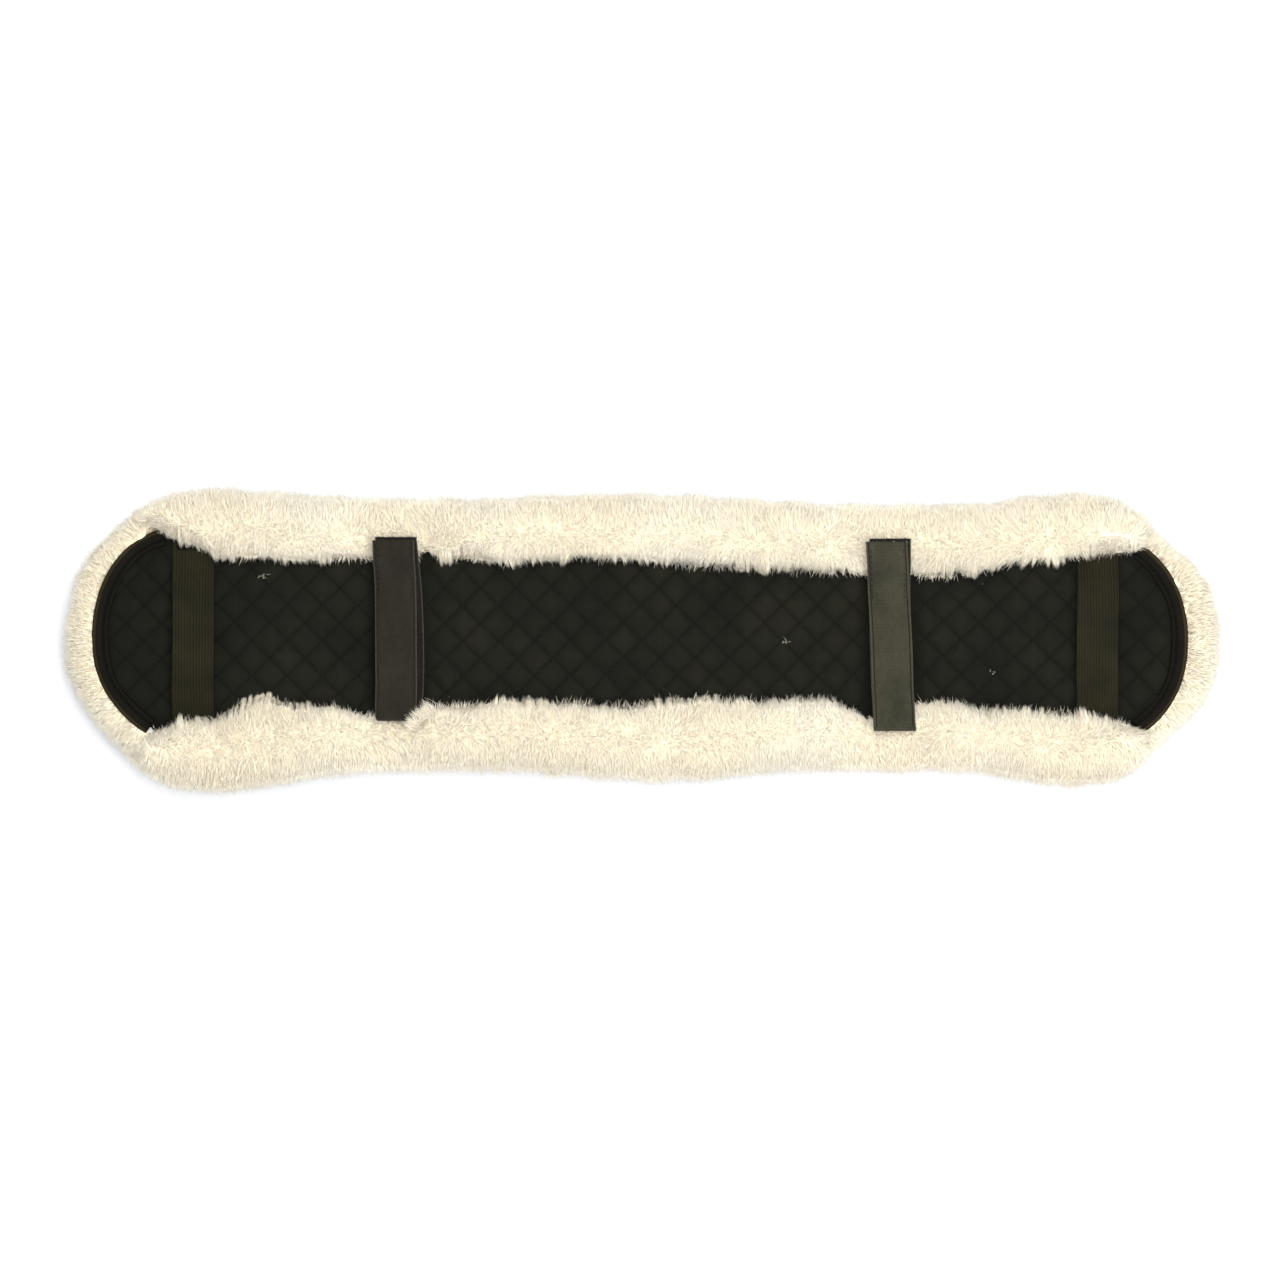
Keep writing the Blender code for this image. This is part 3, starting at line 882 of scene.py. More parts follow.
def make_coat(body, tones):
    """Fine strands lying all over the wool body, in pieces by stretch of the cover."""
    rng = np.random.default_rng(SEED)
    roots, normals = surface_samples(body, COAT_SPACING * (1.0), rng)
    below = (normals[:, 2] < -0.3) & (roots[:, 2] < 0.008)
    keep = ~(over_panel(roots, 0.0005) & (roots[:, 2] < FACE_LOW + 0.0030))
    keep &= ~below | (rng.random(len(roots)) < COAT_SPACING / UNDER_SPACING)
    roots, normals, below = roots[keep], normals[keep], below[keep]
    flow = pile_flow(roots, normals)
    lift = rng.uniform(0.14, 0.50, len(roots))
    directions = unit(flow + normals * lift[:, None] + rng.normal(size=roots.shape) * 0.07)
    lengths = rng.uniform(*STRAND_LENGTH, len(roots))
    radii = rng.uniform(*STRAND_RADIUS, len(roots)) * np.where(below, 1.8, 1.0)
    droop = -normals * rng.uniform(0.0, 0.12, len(roots))[:, None]
    directions[below, 2] = rng.uniform(-0.10, 0.02, below.sum())
    droop[below] = 0.0
    rise = directions[:, 2] + droop[:, 2]
    room = np.where(rise > 0, PILE_TOP_LIMIT - roots[:, 2], roots[:, 2] - TIP_FLOOR)
    lengths = np.minimum(lengths, np.maximum(room, 0.0006) / np.maximum(np.abs(rise), 0.02))
    margin = np.where(roots[:, 0] < ROLL_LOW_X, 0.0016, -0.0008)
    for _ in range(6):
        tips = roots + (directions + droop) * lengths[:, None]
        lengths[over_panel(tips, margin) & (tips[:, 2] > FACE_LOW)] *= 0.65
    lengths = np.maximum(lengths, SHORTEST_STRAND)
    bases = roots - directions * 0.0010
    bases[:, 2] = np.maximum(bases[:, 2], ROOT_FLOOR)

    stretches = np.digitize(roots[:, 0], np.linspace(-0.30, 0.30, 9))
    for i in range(stretches.max() + 1):
        mask = stretches == i
        strands = [values[mask] for values in (bases, directions, lengths, radii, droop)]
        plant(f"wool_pile_{i + 1}", strands, rng, tones, tone_at=roots[mask], rings=2)


def inner_edge(x, side):
    """How far from the middle the pile stops, as it falls in over the panel."""
    edge = roll_tip(x, side)
    for depth, middle, spread in EDGE_BUMPS[side]:
        edge = edge + depth * bump(x, middle, spread)
    for depth, end, start, length, power in EDGE_ENDS[side]:
        edge = edge + depth * rise_over(end * x, start, length) ** power
    if side < 0:
        edge = edge + 0.0140 * rise_over(x, 0.112, 0.028) * (1 - rise_over(x, 0.150, 0.012))
    return edge


def spaced(rng, step):
    """Uneven places along the rolls, a step or so apart."""
    places = np.arange(ROLL_LOW_X - 0.01, ROLL_HIGH_X + 0.01, step)
    return places + rng.uniform(-0.40, 0.40, len(places)) * step


def nearest_of(x, places):
    return np.abs(x[:, None] - places[None]).argmin(axis=1)


def heights_over(tree, x, y):
    """How high the wool body's surface stands at each place."""
    down = Vector((0.0, 0.0, -1.0))
    hits = (tree.ray_cast(Vector((px, py, 0.08)), down)[0] for px, py in zip(x, y))
    return np.array([hit.z if hit else LIP_TOP for hit in hits])


def fringe_roots(tree, side, along, step, rng):
    """Where the fringe's locks are rooted, with how far back and how high above the lip each is."""
    x = np.concatenate([along + rng.uniform(-step, step, len(along)) for _row in FRINGE_ROWS])
    rows = np.repeat(FRINGE_ROWS, len(along), axis=0)
    rise = rows[:, 0] * rng.uniform(0.8, 1.2, len(x)) * roll_height(x, side)
    back = rows[:, 1] * rng.uniform(0.9, 1.1, len(x))
    y = np.minimum(inner_edge(x, side) + back, wool_outline.edge(x, side) - 0.012)
    surface = heights_over(tree, x, side * y)
    under = np.minimum(LIP_TOP + LIP_CLEAR + rise, surface)
    z = np.where(rng.random(len(x)) < 0.55, surface, under) - 0.0002
    return stacked(x, side * y, z), back, rise


def fringe_tips(tree, side, along, x, back, rise, rng):
    """Where the locks end: lobe by lobe and lock by lock along the pile's edge."""
    count = len(x)
    lobes = spaced(rng, LOBE_STEP)
    lobe_reach = rng.normal(0.0004, 0.0013, len(lobes))
    lobe = nearest_of(x + rng.normal(0, 0.0004, count), lobes)
    across = np.clip(np.abs(x - lobes[lobe]) / (LOBE_STEP * 0.62), 0.0, 1.0)
    locks = spaced(rng, LOCK_STEP)
    lock_reach = rng.normal(0.0, 0.0010, len(locks))
    lean = rng.normal(0.0, 0.0010, len(locks)) + 0.0022 * np.sin(locks * 95.0 + 2.0 * side)
    lean += -0.006 * rise_over(-locks, 0.255, 0.035) + 0.003 * rise_over(locks, 0.262, 0.035)
    lock = nearest_of(x + rng.normal(0, LOCK_STEP * 0.18, count), locks)
    gather = (x - locks[lock]) * rng.uniform(0.15, 0.75, count)
    tip_x = x + lean[lock] * rng.uniform(0.6, 1.2, count) - gather
    reach = lobe_reach[lobe] + lock_reach[lock] - 0.0030 * across**3
    short = rng.exponential(0.0010, count) + back * 0.34 - 0.0012
    tip_y = np.interp(tip_x, along, inner_edge(along, side)) - reach + short
    tip_z = LIP_TOP + TIP_CLEAR + rise * rng.uniform(0.10, 0.50, count)
    over_wool = heights_over(tree, tip_x, side * tip_y) + rng.uniform(0.0001, 0.0007, count)
    return stacked(tip_x, side * tip_y, np.maximum(tip_z, over_wool))


def make_fringe(tree, tones):
    """The ragged inner edge of each roll: lobes of little locks, brushed in over the quilting."""
    for side, name in SIDE_NAMES:
        rng = np.random.default_rng(SEED + 10 + side)
        step = FRINGE_STEP * 1.0
        along = np.arange(ROLL_LOW_X + 0.001, ROLL_HIGH_X - 0.001, step)
        roots, back, rise = fringe_roots(tree, side, along, step, rng)
        x, _y, z = roots.T
        tips = fringe_tips(tree, side, along, x, back, rise, rng)
        spans = tips - roots
        lengths = np.linalg.norm(spans, axis=1)
        bow = 0.8 * np.clip((z - tips[:, 2]) / lengths, 0.0, 0.7)
        droop = stacked(0.0, 0.0, -bow)
        spans = spans / lengths[:, None] - droop
        radii = rng.uniform(0.00012, 0.00026, len(x))
        # About a fifth of the fringe's locks take the greyer tone, painted shade.
        shaded_locks = rng.random(len(x)) < 0.22
        for i, (low, high) in enumerate(((-1.0, -0.1), (-0.1, 0.1), (0.1, 1.0))):
            part = (x >= low) & (x < high)
            strands = [values[part] for values in (roots, spans, lengths, radii, droop)]
            plant(f"wool_fringe_{name}_{i + 1}", strands, rng, tones, painted_shade=shaded_locks[part], curl=0.03)
        make_wisps(f"wool_wisps_{name}", side, tones, rng)


def make_wisps(name, side, tones, rng):
    """Single fibres that stand out a little past the ragged edge."""
    x = rng.uniform(ROLL_LOW_X + 0.004, ROLL_HIGH_X - 0.004, WISPS)
    for strap in ("strap_base_left", "strap_base_right", "strap_flap_left", "strap_flap_right"):
        low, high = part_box(strap)
        x = x[(x < low.x - 0.002) | (x > high.x + 0.002)]
    count = len(x)
    y = inner_edge(x, side) + rng.uniform(0.0015, 0.0045, count)
    z = LIP_TOP + LIP_CLEAR + rng.uniform(0.0, 0.0030, count) * roll_height(x, side)
    lengths = rng.uniform(0.0030, 0.0065, count)
    heading = 0.30 * np.sin(x * 95.0 + 2.0 * side) + rng.normal(0, 0.30, count)
    fall = (LIP_TOP + TIP_CLEAR - z) / lengths * rng.uniform(0.3, 1.0, count)
    directions = unit(stacked(heading, -1.0 * side, fall))
    radii = rng.uniform(0.00008, 0.00014, count)
    plant(name, (stacked(x, side * y, z), directions, lengths, radii, STRAIGHT), rng, tones)


def make_overlap(tree, tones):
    """Wool brushed up over one corner of the left strap's near end."""
    rng = np.random.default_rng(SEED + 15)
    low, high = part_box("strap_flap_left")
    count = OVERLAP_LOCKS
    top = Strip("strap_flap_left").top(low.y)
    along = rng.normal(0.0, 0.0046, count)
    out = rng.uniform(0.0008, 0.0060, count) + 0.25 * np.abs(along)
    x = high.x - 0.0012 + (along + out) * ROOT_HALF
    y = low.y + 0.0012 + (along - out) * ROOT_HALF
    z = np.clip(heights_over(tree, x, y) + 0.0003, top - 0.0026, top - 0.0006)
    headings = rng.normal(0.75 * math.pi, 0.50, count)
    lengths = out + rng.uniform(-0.0010, 0.0050, count)
    climb = top + rng.uniform(-0.0010, 0.0014, count) - z
    lengths = np.maximum(lengths, 0.0025)
    bow = (climb * 0.9 + 0.0012) / lengths
    directions = stacked(np.cos(headings), np.sin(headings), climb / lengths + bow)
    steepness = np.linalg.norm(directions, axis=1)
    droop = stacked(0.0, 0.0, -bow) / steepness[:, None]
    radii = rng.uniform(0.00012, 0.00024, count)
    strands = (stacked(x, y, z), directions, lengths * steepness, radii, droop)
    # About a third of these locks take the greyer tone, painted shade.
    plant("wool_over_strap", strands, rng, tones, painted_shade=0.35, curl=0.08)


# ---- Quilted panel ----


def strap_footprint(points, margin):
    """0 under a strap base or an elastic's end, rising to 1 clear of them."""
    free = np.ones(len(points))
    ends = rise_over(np.abs(points[:, 1]), 0.030, 0.010)
    for name, weight, gap in (("elastic_loop", ends, 0.0), ("strap_base", 1.0, 0.001)):
        for which in WHICH:
            low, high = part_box(f"{name}_{which}")
            reach = np.maximum(low.x - points[:, 0], points[:, 0] - high.x)
            free = np.minimum(free, rise_over(reach, gap, margin) * weight + (1 - weight))
    return free


def edge_room(points):
    """How far in from the panel's outline a point lies, near enough."""
    far = panel_outline.edge(points[:, 0], 1) - points[:, 1]
    near = panel_outline.edge(points[:, 0], -1) + points[:, 1]
    ends = np.minimum(points[:, 0] - panel_outline.low_x, panel_outline.high_x - points[:, 0])
    return np.minimum(np.minimum(far, near), ends)


def wander(points):
    """Lets the quilting lines stray a little from their even diamonds."""
    flat = points * (1.0, 1.0, 0.0)
    drift = swirl(flat, 0.034, SEED + 43) * 0.0009 + swirl(flat, 0.011, SEED + 44) * 0.0003
    return points + drift * (1.0, 1.0, 0.0)


def diamond_grid():
    """A flat grid turned to the diamonds: its points, which lie on a seam, and its faces."""
    step = QUILT_PITCH / QUILT_CELLS
    reach = int(0.40 / step * 1.5)
    index = {}
    verts = []
    pins = []
    for i in range(-reach, reach + 1):
        for j in range(-reach, reach + 1):
            x, y = (i + j) * step * ROOT_HALF, (i - j) * step * ROOT_HALF
            if not panel_outline.low_x < x < panel_outline.high_x:
                continue
            if not -panel_outline.edge(x, -1) + 0.002 < y < panel_outline.edge(x, 1) - 0.002:
                continue
            index[(i, j)] = len(verts)
            verts.append((x, y, FACE_TOP - SEAM_DROP))
            pins.append(i % QUILT_CELLS == 0 or j % QUILT_CELLS == 0)
    faces = []
    for i, j in index:
        square = [index.get(key) for key in ((i, j), (i, j + 1), (i + 1, j + 1), (i + 1, j))]
        if None not in square:
            faces.append(square[::-1])
    used = sorted({v for face in faces for v in face})
    remap = {old: new for new, old in enumerate(used)}
    faces = [[remap[v] for v in face] for face in faces]
    return np.array([verts[v] for v in used]), np.array([pins[v] for v in used]), faces


def make_quilt(material):
    """Cloth blown up between pinned diamond seams, then given its thickness."""
    even, pins, faces = diamond_grid()
    piece = make_piece("quilt_face", wander(even), faces, [material], body=None)
    if piece.data.polygons[0].normal.z < 0:
        piece.data.flip_normals()
    rest = wander(even)
    group = piece.vertex_groups.new(name="seams")
    border = edge_room(rest) < QUILT_PITCH / QUILT_CELLS
    group.add(np.flatnonzero(pins | border).tolist(), 1.0, "REPLACE")
    diagonals = np.stack([even[:, 0] + even[:, 1], even[:, 0] - even[:, 1]], 1)
    cell = diagonals * ROOT_HALF / QUILT_PITCH
    shaped = inflate(piece)
    piece.vertex_groups.clear()
    free = strap_footprint(rest, 0.006) * rise_over(edge_room(rest), FLAT_BORDER, 0.006)
    flat_top = FACE_TOP - 0.0002
    height = np.clip(shaped[:, 2] - rest[:, 2], 0.0, PUFF_LIMIT)
    ripple = ripples(rest, (0.0045, 40, 0.00012), (0.014, 41, 0.00018))
    fullness = np.random.default_rng(SEED + 42).uniform(0.55, 1.0, (200, 200))
    height *= fullness[tuple(np.floor(cell).astype(int).T)]
    z = rest[:, 2] + (height + ripple * (height > 0.0002)) * free
    z = np.where(free < 0.05, np.minimum(z, flat_top), z)
    shaped[:, 2] = z
    piece.data.vertices.foreach_set("co", shaped.astype(np.float32).ravel())
    piece.data.update()
    solid = piece.modifiers.new("thickness", "SOLIDIFY")
    solid.thickness = CLOTH_THICKNESS
    solid.offset = -1.0
    piece.data.shade_smooth()
    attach(piece, "pad")
    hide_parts("quilt_face_cloth")
    return piece


def inflate(piece):
    """Runs the cloth under pressure with its seams pinned, and returns where its points end up."""
    cloth = piece.modifiers.new("cloth", "CLOTH")
    settings = cloth.settings
    for name, value in CLOTH.items():
        setattr(settings, name, value)
    settings.effector_weights.gravity = 0.0
    cloth.collision_settings.use_collision = False
    scene = bpy.context.scene
    scene.frame_start = 1
    scene.frame_end = PUFF_FRAMES
    cloth.point_cache.frame_end = PUFF_FRAMES
    for number in range(1, PUFF_FRAMES + 1):
        scene.frame_set(number)
    points = mesh_points(piece.evaluated_get(bpy.context.evaluated_depsgraph_get()).data)
    piece.modifiers.remove(cloth)
    scene.frame_set(1)
    return points


def capsules(starts, ends, radius, lift):
    """Short stitches of thread: each a closed spindle, raised in its middle."""
    count = len(starts)
    along = unit(ends - starts)
    up = np.tile(np.array([0.0, 0.0, 1.0]), (count, 1))
    across = unit(np.cross(along, up))
    sections = (  # share of the length, of the radius and of the lift
        (0.0, 0.25, 0.0),
        (0.22, 0.9, 0.7),
        (0.5, 1.0, 1.0),
        (0.78, 0.9, 0.7),
        (1.0, 0.25, 0.0),
    )
    corners = 5
    rings = []
    for t, width, raised in sections:
        centre = starts + (ends - starts) * t + up * lift * raised
        for c in range(corners):
            angle = 2 * math.pi * c / corners
            outwards = across * math.cos(angle) + up * math.sin(angle)
            rings.append(centre + outwards * radius * width)
    verts = np.stack(rings, 1).reshape(-1, 3)
    pattern = tube_walls(len(sections), corners)
    last = (len(sections) - 1) * corners
    for c in range(1, corners - 1):
        pattern += [(0, c + 1, c), (last, last + c, last + c + 1)]
    return verts, repeated(pattern, count, len(rings))


def make_thread(name, stitches, material, body="pad", radius=STITCH_RADIUS, lift=0.0002):
    """A piece of stitches, each a pair of points."""
    starts, ends = np.array(stitches).transpose(1, 0, 2)
    verts, triangles = capsules(starts, ends, radius, lift)
    piece = make_fast(name, verts, triangles, [material], body)
    return piece


def make_quilting_thread(material):
    """A stitch every few millimetres along every diamond seam that shows."""
    reach = int(0.60 / QUILT_PITCH)
    run = np.arange(-0.60, 0.60, STITCH_PITCH)
    seams = np.arange(-reach, reach + 1) * QUILT_PITCH
    line, along = (grid.ravel() for grid in np.meshgrid(seams, run))
    ends = []
    for extra in (0.0, STITCH_LENGTH):
        u = np.concatenate([line, along + extra])
        v = np.concatenate([along + extra, line])
        z = np.full(len(u), FACE_TOP - SEAM_DROP + 0.00012)
        ends.append(np.stack([(u + v) * ROOT_HALF, (u - v) * ROOT_HALF, z], 1))
    middle = (ends[0] + ends[1]) / 2
    x, y = np.abs(middle[:, :2]).T
    shows = (x < SEAM_REACH[0]) & (y < SEAM_REACH[1]) & (edge_room(middle) > 0.010)
    stitches = list(zip(*(wander(points[shows]) for points in ends)))
    make_thread("quilting_thread", stitches, material, radius=0.00020, lift=0.0001)


# ---- Binding ----


def sleeve_faces(rings, corners):
    """The quads of a closed section swept through rings of points, with a cap at each end."""
    faces = []
    for k in range(rings - 1):
        for c in range(corners):
            a, b = k * corners + c, k * corners + (c + 1) % corners
            faces.append((a, b, b + corners, a + corners))
    last = (rings - 1) * corners
    return faces + [tuple(reversed(range(corners))), tuple(range(last, last + corners))]


def end_path(which):
    """Points along the panel's rounded end, from its near side to its far side."""
    low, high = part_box(f"end_binding_{which}")
    right = which == "right"
    tip = panel_outline.high_x if right else panel_outline.low_x
    halves = []
    for side in (-1, 1):
        start = (low.x if right else high.x) + BINDING_REACH[which, side]
        share = np.sin(np.linspace(0.0, math.pi / 2, 200))
        x = start + (tip - start) * share
        halves.append(np.stack([x, side * panel_outline.edge(x, side)], 1))
    return np.concatenate([halves[0], halves[1][::-1][1:]])


def resample(path, step):
    gaps = np.linalg.norm(np.diff(path, axis=0), axis=1)
    along = np.concatenate([[0.0], np.cumsum(gaps)])
    count = max(2, int(along[-1] / step))
    places = np.linspace(0, along[-1], count)
    return np.stack([np.interp(places, along, path[:, k]) for k in (0, 1)], 1), places


def smooth_path(path, rounds):
    out = path.copy()
    for _ in range(rounds):
        out[1:-1] = out[1:-1] * 0.5 + (out[:-2] + out[2:]) * 0.25
    return out


def inward_of(path, which):
    direction = unit(np.gradient(path, axis=0))
    inward = np.stack([-direction[:, 1], direction[:, 0]], 1)
    centre = np.array([0.25 if which == "right" else -0.25, 0.0])
    flip = np.sum(inward * (centre - path), axis=1) < 0
    inward[flip] *= -1
    return inward


def band_of(profile, corners):
    """1 on the turned outer edge (painted highlight), 2 in the groove beside the topstitching
    (painted shade), 0 elsewhere.
    """
    inset = sum(profile[c][0] for c in corners) / len(corners)
    if inset < 0.0004:
        return 1
    if 0.0048 < inset < 0.0063:
        return 2
    return 0


def make_binding(which, materials, thread):
    """Tape folded over the panel's edge, rolled at the fold, with a line of topstitching."""
    node = f"end_binding_{which}"
    low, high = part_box(node)
    path, places = resample(smooth_path(resample(end_path(which), 0.002)[0], 6), 0.0012)
    inward = inward_of(path, which)
    profile = (
        (0.0078, low.z + 0.0004),
        (0.0040, low.z + 0.0001),
        (0.0006, low.z + 0.0003),
        (-0.0010, low.z + 0.0016),
        (-0.0017, low.z + 0.0045),
        (-0.0014, high.z - 0.0012),
        (-0.0004, high.z + 0.0003),
        (0.0010, high.z + 0.0009),
        (0.0026, high.z + 0.0009),
        (0.0044, high.z + 0.0005),
        (0.0056, high.z + 0.0001),
        (0.0068, high.z + 0.0003),
        (0.0080, high.z + 0.0001),
        (0.0084, high.z - 0.0005),
        (0.0078, high.z - 0.0009),
        (0.0050, high.z - 0.0009),
        (0.0010, high.z - 0.0009),
        (-0.0007, high.z - 0.0020),
        (-0.0008, low.z + 0.0045),
        (-0.0003, low.z + 0.0018),
        (0.0010, low.z + 0.0010),
        (0.0078, low.z + 0.0010),
    )
    count = len(profile)
    verts = []
    for k, (spot, into) in enumerate(zip(path, inward)):
        pucker = 0.00012 * math.sin(places[k] * 2 * math.pi / 0.0046)
        pucker += 0.0001 * math.sin(places[k] * 171.0)
        for inset, z in profile:
            top = z > (low.z + high.z) / 2
            inner = inset > 0.005
            shift = 0.00035 * math.sin(places[k] * 133.0) if inner else 0.0
            place = spot + into * (inset + shift)
            verts.append((place[0], place[1], z + (pucker if top else 0.0)))
    piece = make_piece(f"binding_{which}", verts, sleeve_faces(len(path), count), materials)
    # The outer fold takes the painted highlight, the groove the painted shade.
    for face in piece.data.polygons[: (len(path) - 1) * count]:
        face.material_index = band_of(profile, [v % count for v in face.vertices])
    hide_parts(node)

    line, _places = resample(path + inward * 0.0057, STITCH_PITCH / 3)
    line = [(x, y, high.z + 0.0002) for x, y in line]
    stitches = [(line[k], line[k + 2]) for k in range(0, len(line) - 2, 3)]
    make_thread(f"binding_thread_{which}", stitches, thread, lift=0.0003)


# ---- Tapes ----


def tape_grid(name, strip, grid, profile, thickness, materials, body, extra=None, bands=()):
    """A closed tape over a strip: profile lifts it across its width, extra moves it in x and z."""
    rows, columns = grid
    ys = np.linspace(strip.y[0], strip.y[-1], rows)
    verts_top, verts_low = [], []
    for y in ys:
        left, right = strip.edges(y)
        base = strip.bottom(y)
        for c in range(columns):
            share = c / (columns - 1)
            x = left + (right - left) * share
            dx, dz = extra(share, y) if extra else (0.0, 0.0)
            verts_top.append((x + dx, y, base + thickness + profile(share) + dz))
            verts_low.append((x + dx, y, base + dz))
    verts = verts_top + verts_low
    count = rows * columns
    faces = []
    for r in range(rows - 1):
        for c in range(columns - 1):
            a = r * columns + c
            faces.append((a, a + 1, a + columns + 1, a + columns))
            b = a + count
            faces.append((b, b + columns, b + columns + 1, b + 1))
    for c in range(columns - 1):
        faces.append((c, c + count, c + 1 + count, c + 1))
        a = (rows - 1) * columns + c
        faces.append((a, a + 1, a + 1 + count, a + count))
    for r in range(rows - 1):
        a = r * columns
        faces.append((a, a + columns, a + columns + count, a + count))
        b = a + columns - 1
        faces.append((b, b + count, b + columns + count, b + columns))
    piece = make_piece(name, verts, faces, materials, body)
    piece.data.set_sharp_from_angle(angle=math.radians(50))
    for face in piece.data.polygons:
        share = min(np.mean([v % columns for v in face.vertices]), columns) / (columns - 1)
        inside = min(share, 1 - share)
        for slot, (low, high) in enumerate(bands, start=1):
            if low <= inside < high:
                face.material_index = slot
    return piece


def unlifted(_share):
    return 0.0


def ribbed(ribs, depth):
    def profile(share):
        rounded = max(0.0, 1 - min(share, 1 - share) / 0.03) ** 2
        return -0.0003 * rounded + depth * 0.5 * (1 - math.cos(2 * math.pi * ribs * share))

    return profile


def selvedged(groove):
    """Flat across, with a raised selvedge and a groove just inside it."""

    def profile(share):
        inside = min(share, 1 - share)
        dip = bump(inside, 0.075, 0.018)
        rounded = max(0.0, 1 - inside / 0.025) ** 2
        return -groove * dip - 0.0003 * rounded

    return profile


def make_elastic(which, material, thread):
    node = f"elastic_loop_{which}"
    strip = Strip(node)
    strip.lengthen(ELASTIC_TUCK)
    sign = 1 if which == "left" else -1

    def sway(share, y):
        return 0.0004 * math.sin(y * 61.0 + sign), 0.0002 * math.sin(y * 83.0 + share * 2.0)

    ribs = ribbed(ELASTIC_RIBS, 0.00022)
    woven = (ELASTIC_GRID, ribs, ELASTIC_THICKNESS, [material], "pad", sway)
    piece = tape_grid(f"elastic_{which}", strip, *woven)
    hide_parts(node)
    for place, shift in (("far", ELASTIC_TUCK), ("near", -ELASTIC_TUCK)):
        make_tack(f"elastic_tack_{which}_{place}", thread, shift)


def make_tack(node, thread, shift=0.0):
    """A zigzag bar tack over the CAD tack's own place, or shift further along Y."""
    low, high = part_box(node)
    low.y += shift
    high.y += shift
    z = low.z + 0.0001
    stitches = []
    for k in range(TACK_CROSSINGS):
        x = low.x + (high.x - low.x) * (k + 0.5) / TACK_CROSSINGS
        far, near = (low.y, high.y) if k % 2 else (high.y, low.y)
        stitches.append(((x - 0.0003, far, z), (x + 0.0003, near, z)))
    piece = make_thread(f"{node}_thread", stitches, thread, radius=0.0003, lift=0.0002)
    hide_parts(node)


def frayed_end(name, strip, y_end, direction, material, body, rng):
    """Loose warp ends along a cut edge."""
    left, right = strip.edges(y_end)
    count = FRAY_COUNT
    xs = np.sort(rng.uniform(left + 0.0006, right - 0.0006, count))
    z = strip.bottom(y_end) + rng.uniform(0.0003, 0.0009, count)
    roots = stacked(xs, y_end - direction * 0.0008, z)
    directions = stacked(rng.normal(0, 0.3, count), direction * 1.0, rng.normal(0, 0.2, count))
    lengths = rng.uniform(0.0010, 0.0022, count)
    radii = rng.uniform(0.00010, 0.00018, count)
    strands = (roots, directions, lengths, radii, STRAIGHT)
    plant(name, strands, rng, [material], "webbing", body, rings=2)


def make_strap(which, shaded_base_tones, flap_tones, hook, loop, thread):
    rng = np.random.default_rng(SEED + (50 if which == "left" else 60))
    body = f"{which}_flap"
    base = Strip(f"strap_base_{which}")
    flap = Strip(f"strap_flap_{which}")
    bow = 0.0022 if which == "left" else -0.0006

    def bowed(_share, y):
        middle = (base.y[0] + base.y[-1]) / 2
        half = (base.y[-1] - base.y[0]) / 2
        away = max(0.0, 1 - ((y - middle) / half) ** 2)
        return bow * away, 0.0001 * math.sin(y * 90.0)

    def lying(share, y):
        return 0.0003 * math.sin(y * 47.0 + 1.0), 0.00015 * math.sin(y * 118.0 + share * 3.0)

    # The base strap takes the darker copy of the webbing, painted shade.
    woven = (STRAP_GRID, selvedged(0.00025), STRAP_THICKNESS, shaded_base_tones, "pad", bowed, STRAP_BANDS)
    piece = tape_grid(f"base_strap_shaded_{which}", base, *woven)
    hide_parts(f"strap_base_{which}")
    woven = (STRAP_GRID, selvedged(0.00030), STRAP_THICKNESS, flap_tones, body, lying, STRAP_BANDS)
    piece = tape_grid(f"flap_{which}", flap, *woven)
    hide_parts(f"strap_flap_{which}")
    frayed_end(f"flap_fray_{which}", flap, flap.y[-1], 1, flap_tones[1], body, rng)
    frayed_end(f"base_fray_{which}", base, base.y[-1], 1, shaded_base_tones[1], "pad", rng)
    make_fold(which, base, flap, flap_tones[0])
    make_hooks(which, hook)
    make_loops(which, loop, body)
    for place in ("far", "near"):
        make_tack(f"strap_tack_{which}_{place}", thread)
    edge_stitching(which, flap, thread, body)


def edge_stitching(which, flap, thread, body):
    """Two rows of stitches through the flap, down both sides of its loop tape."""
    low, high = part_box(f"loop_tape_{which}")
    stitches = []
    for share in (0.11, 0.89):
        y = low.y
        while y < high.y - STITCH_LENGTH:
            ends = []
            for at in (y, y + STITCH_LENGTH):
                left, right = flap.edges(at)
                ends.append((left + (right - left) * share, at, flap.bottom(at) + 0.00105))
            stitches.append(ends)
            y += STITCH_PITCH
    make_thread(f"flap_stitching_{which}", stitches, thread, body, radius=0.00016, lift=0.00012)


def make_fold(which, base, flap, material):
    """The turn of webbing at the near end that joins the base strap to its flap."""
    y = flap.y[0]
    low_z, high_z = base.bottom(base.y[0]), flap.bottom(y)
    outer = (high_z + STRAP_THICKNESS - low_z) / 2
    middle = low_z + outer
    inner = outer - STRAP_THICKNESS
    steps = 14
    columns = 24
    outline = []
    turn = [-math.pi / 2 - math.pi * k / steps for k in range(steps + 1)]
    for radius, angles in ((outer, turn), (inner, turn[::-1])):
        for angle in angles:
            outline.append((radius * math.cos(angle), middle + radius * math.sin(angle)))
    verts = []
    for c in range(columns):
        share = c / (columns - 1)
        for dy, z in outline:
            up = (z - low_z) / (2 * outer)
            left_a, right_a = base.edges(base.y[0])
            left_b, right_b = flap.edges(y)
            left = left_a + (left_b - left_a) * up
            right = right_a + (right_b - right_a) * up
            y_here = base.y[0] + (y - base.y[0]) * up
            verts.append((left + (right - left) * share, y_here + dy + 0.0004, z))
    faces = sleeve_faces(columns, len(outline))
    piece = make_piece(f"fold_{which}", verts, faces, [material], body=None)
    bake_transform(piece)


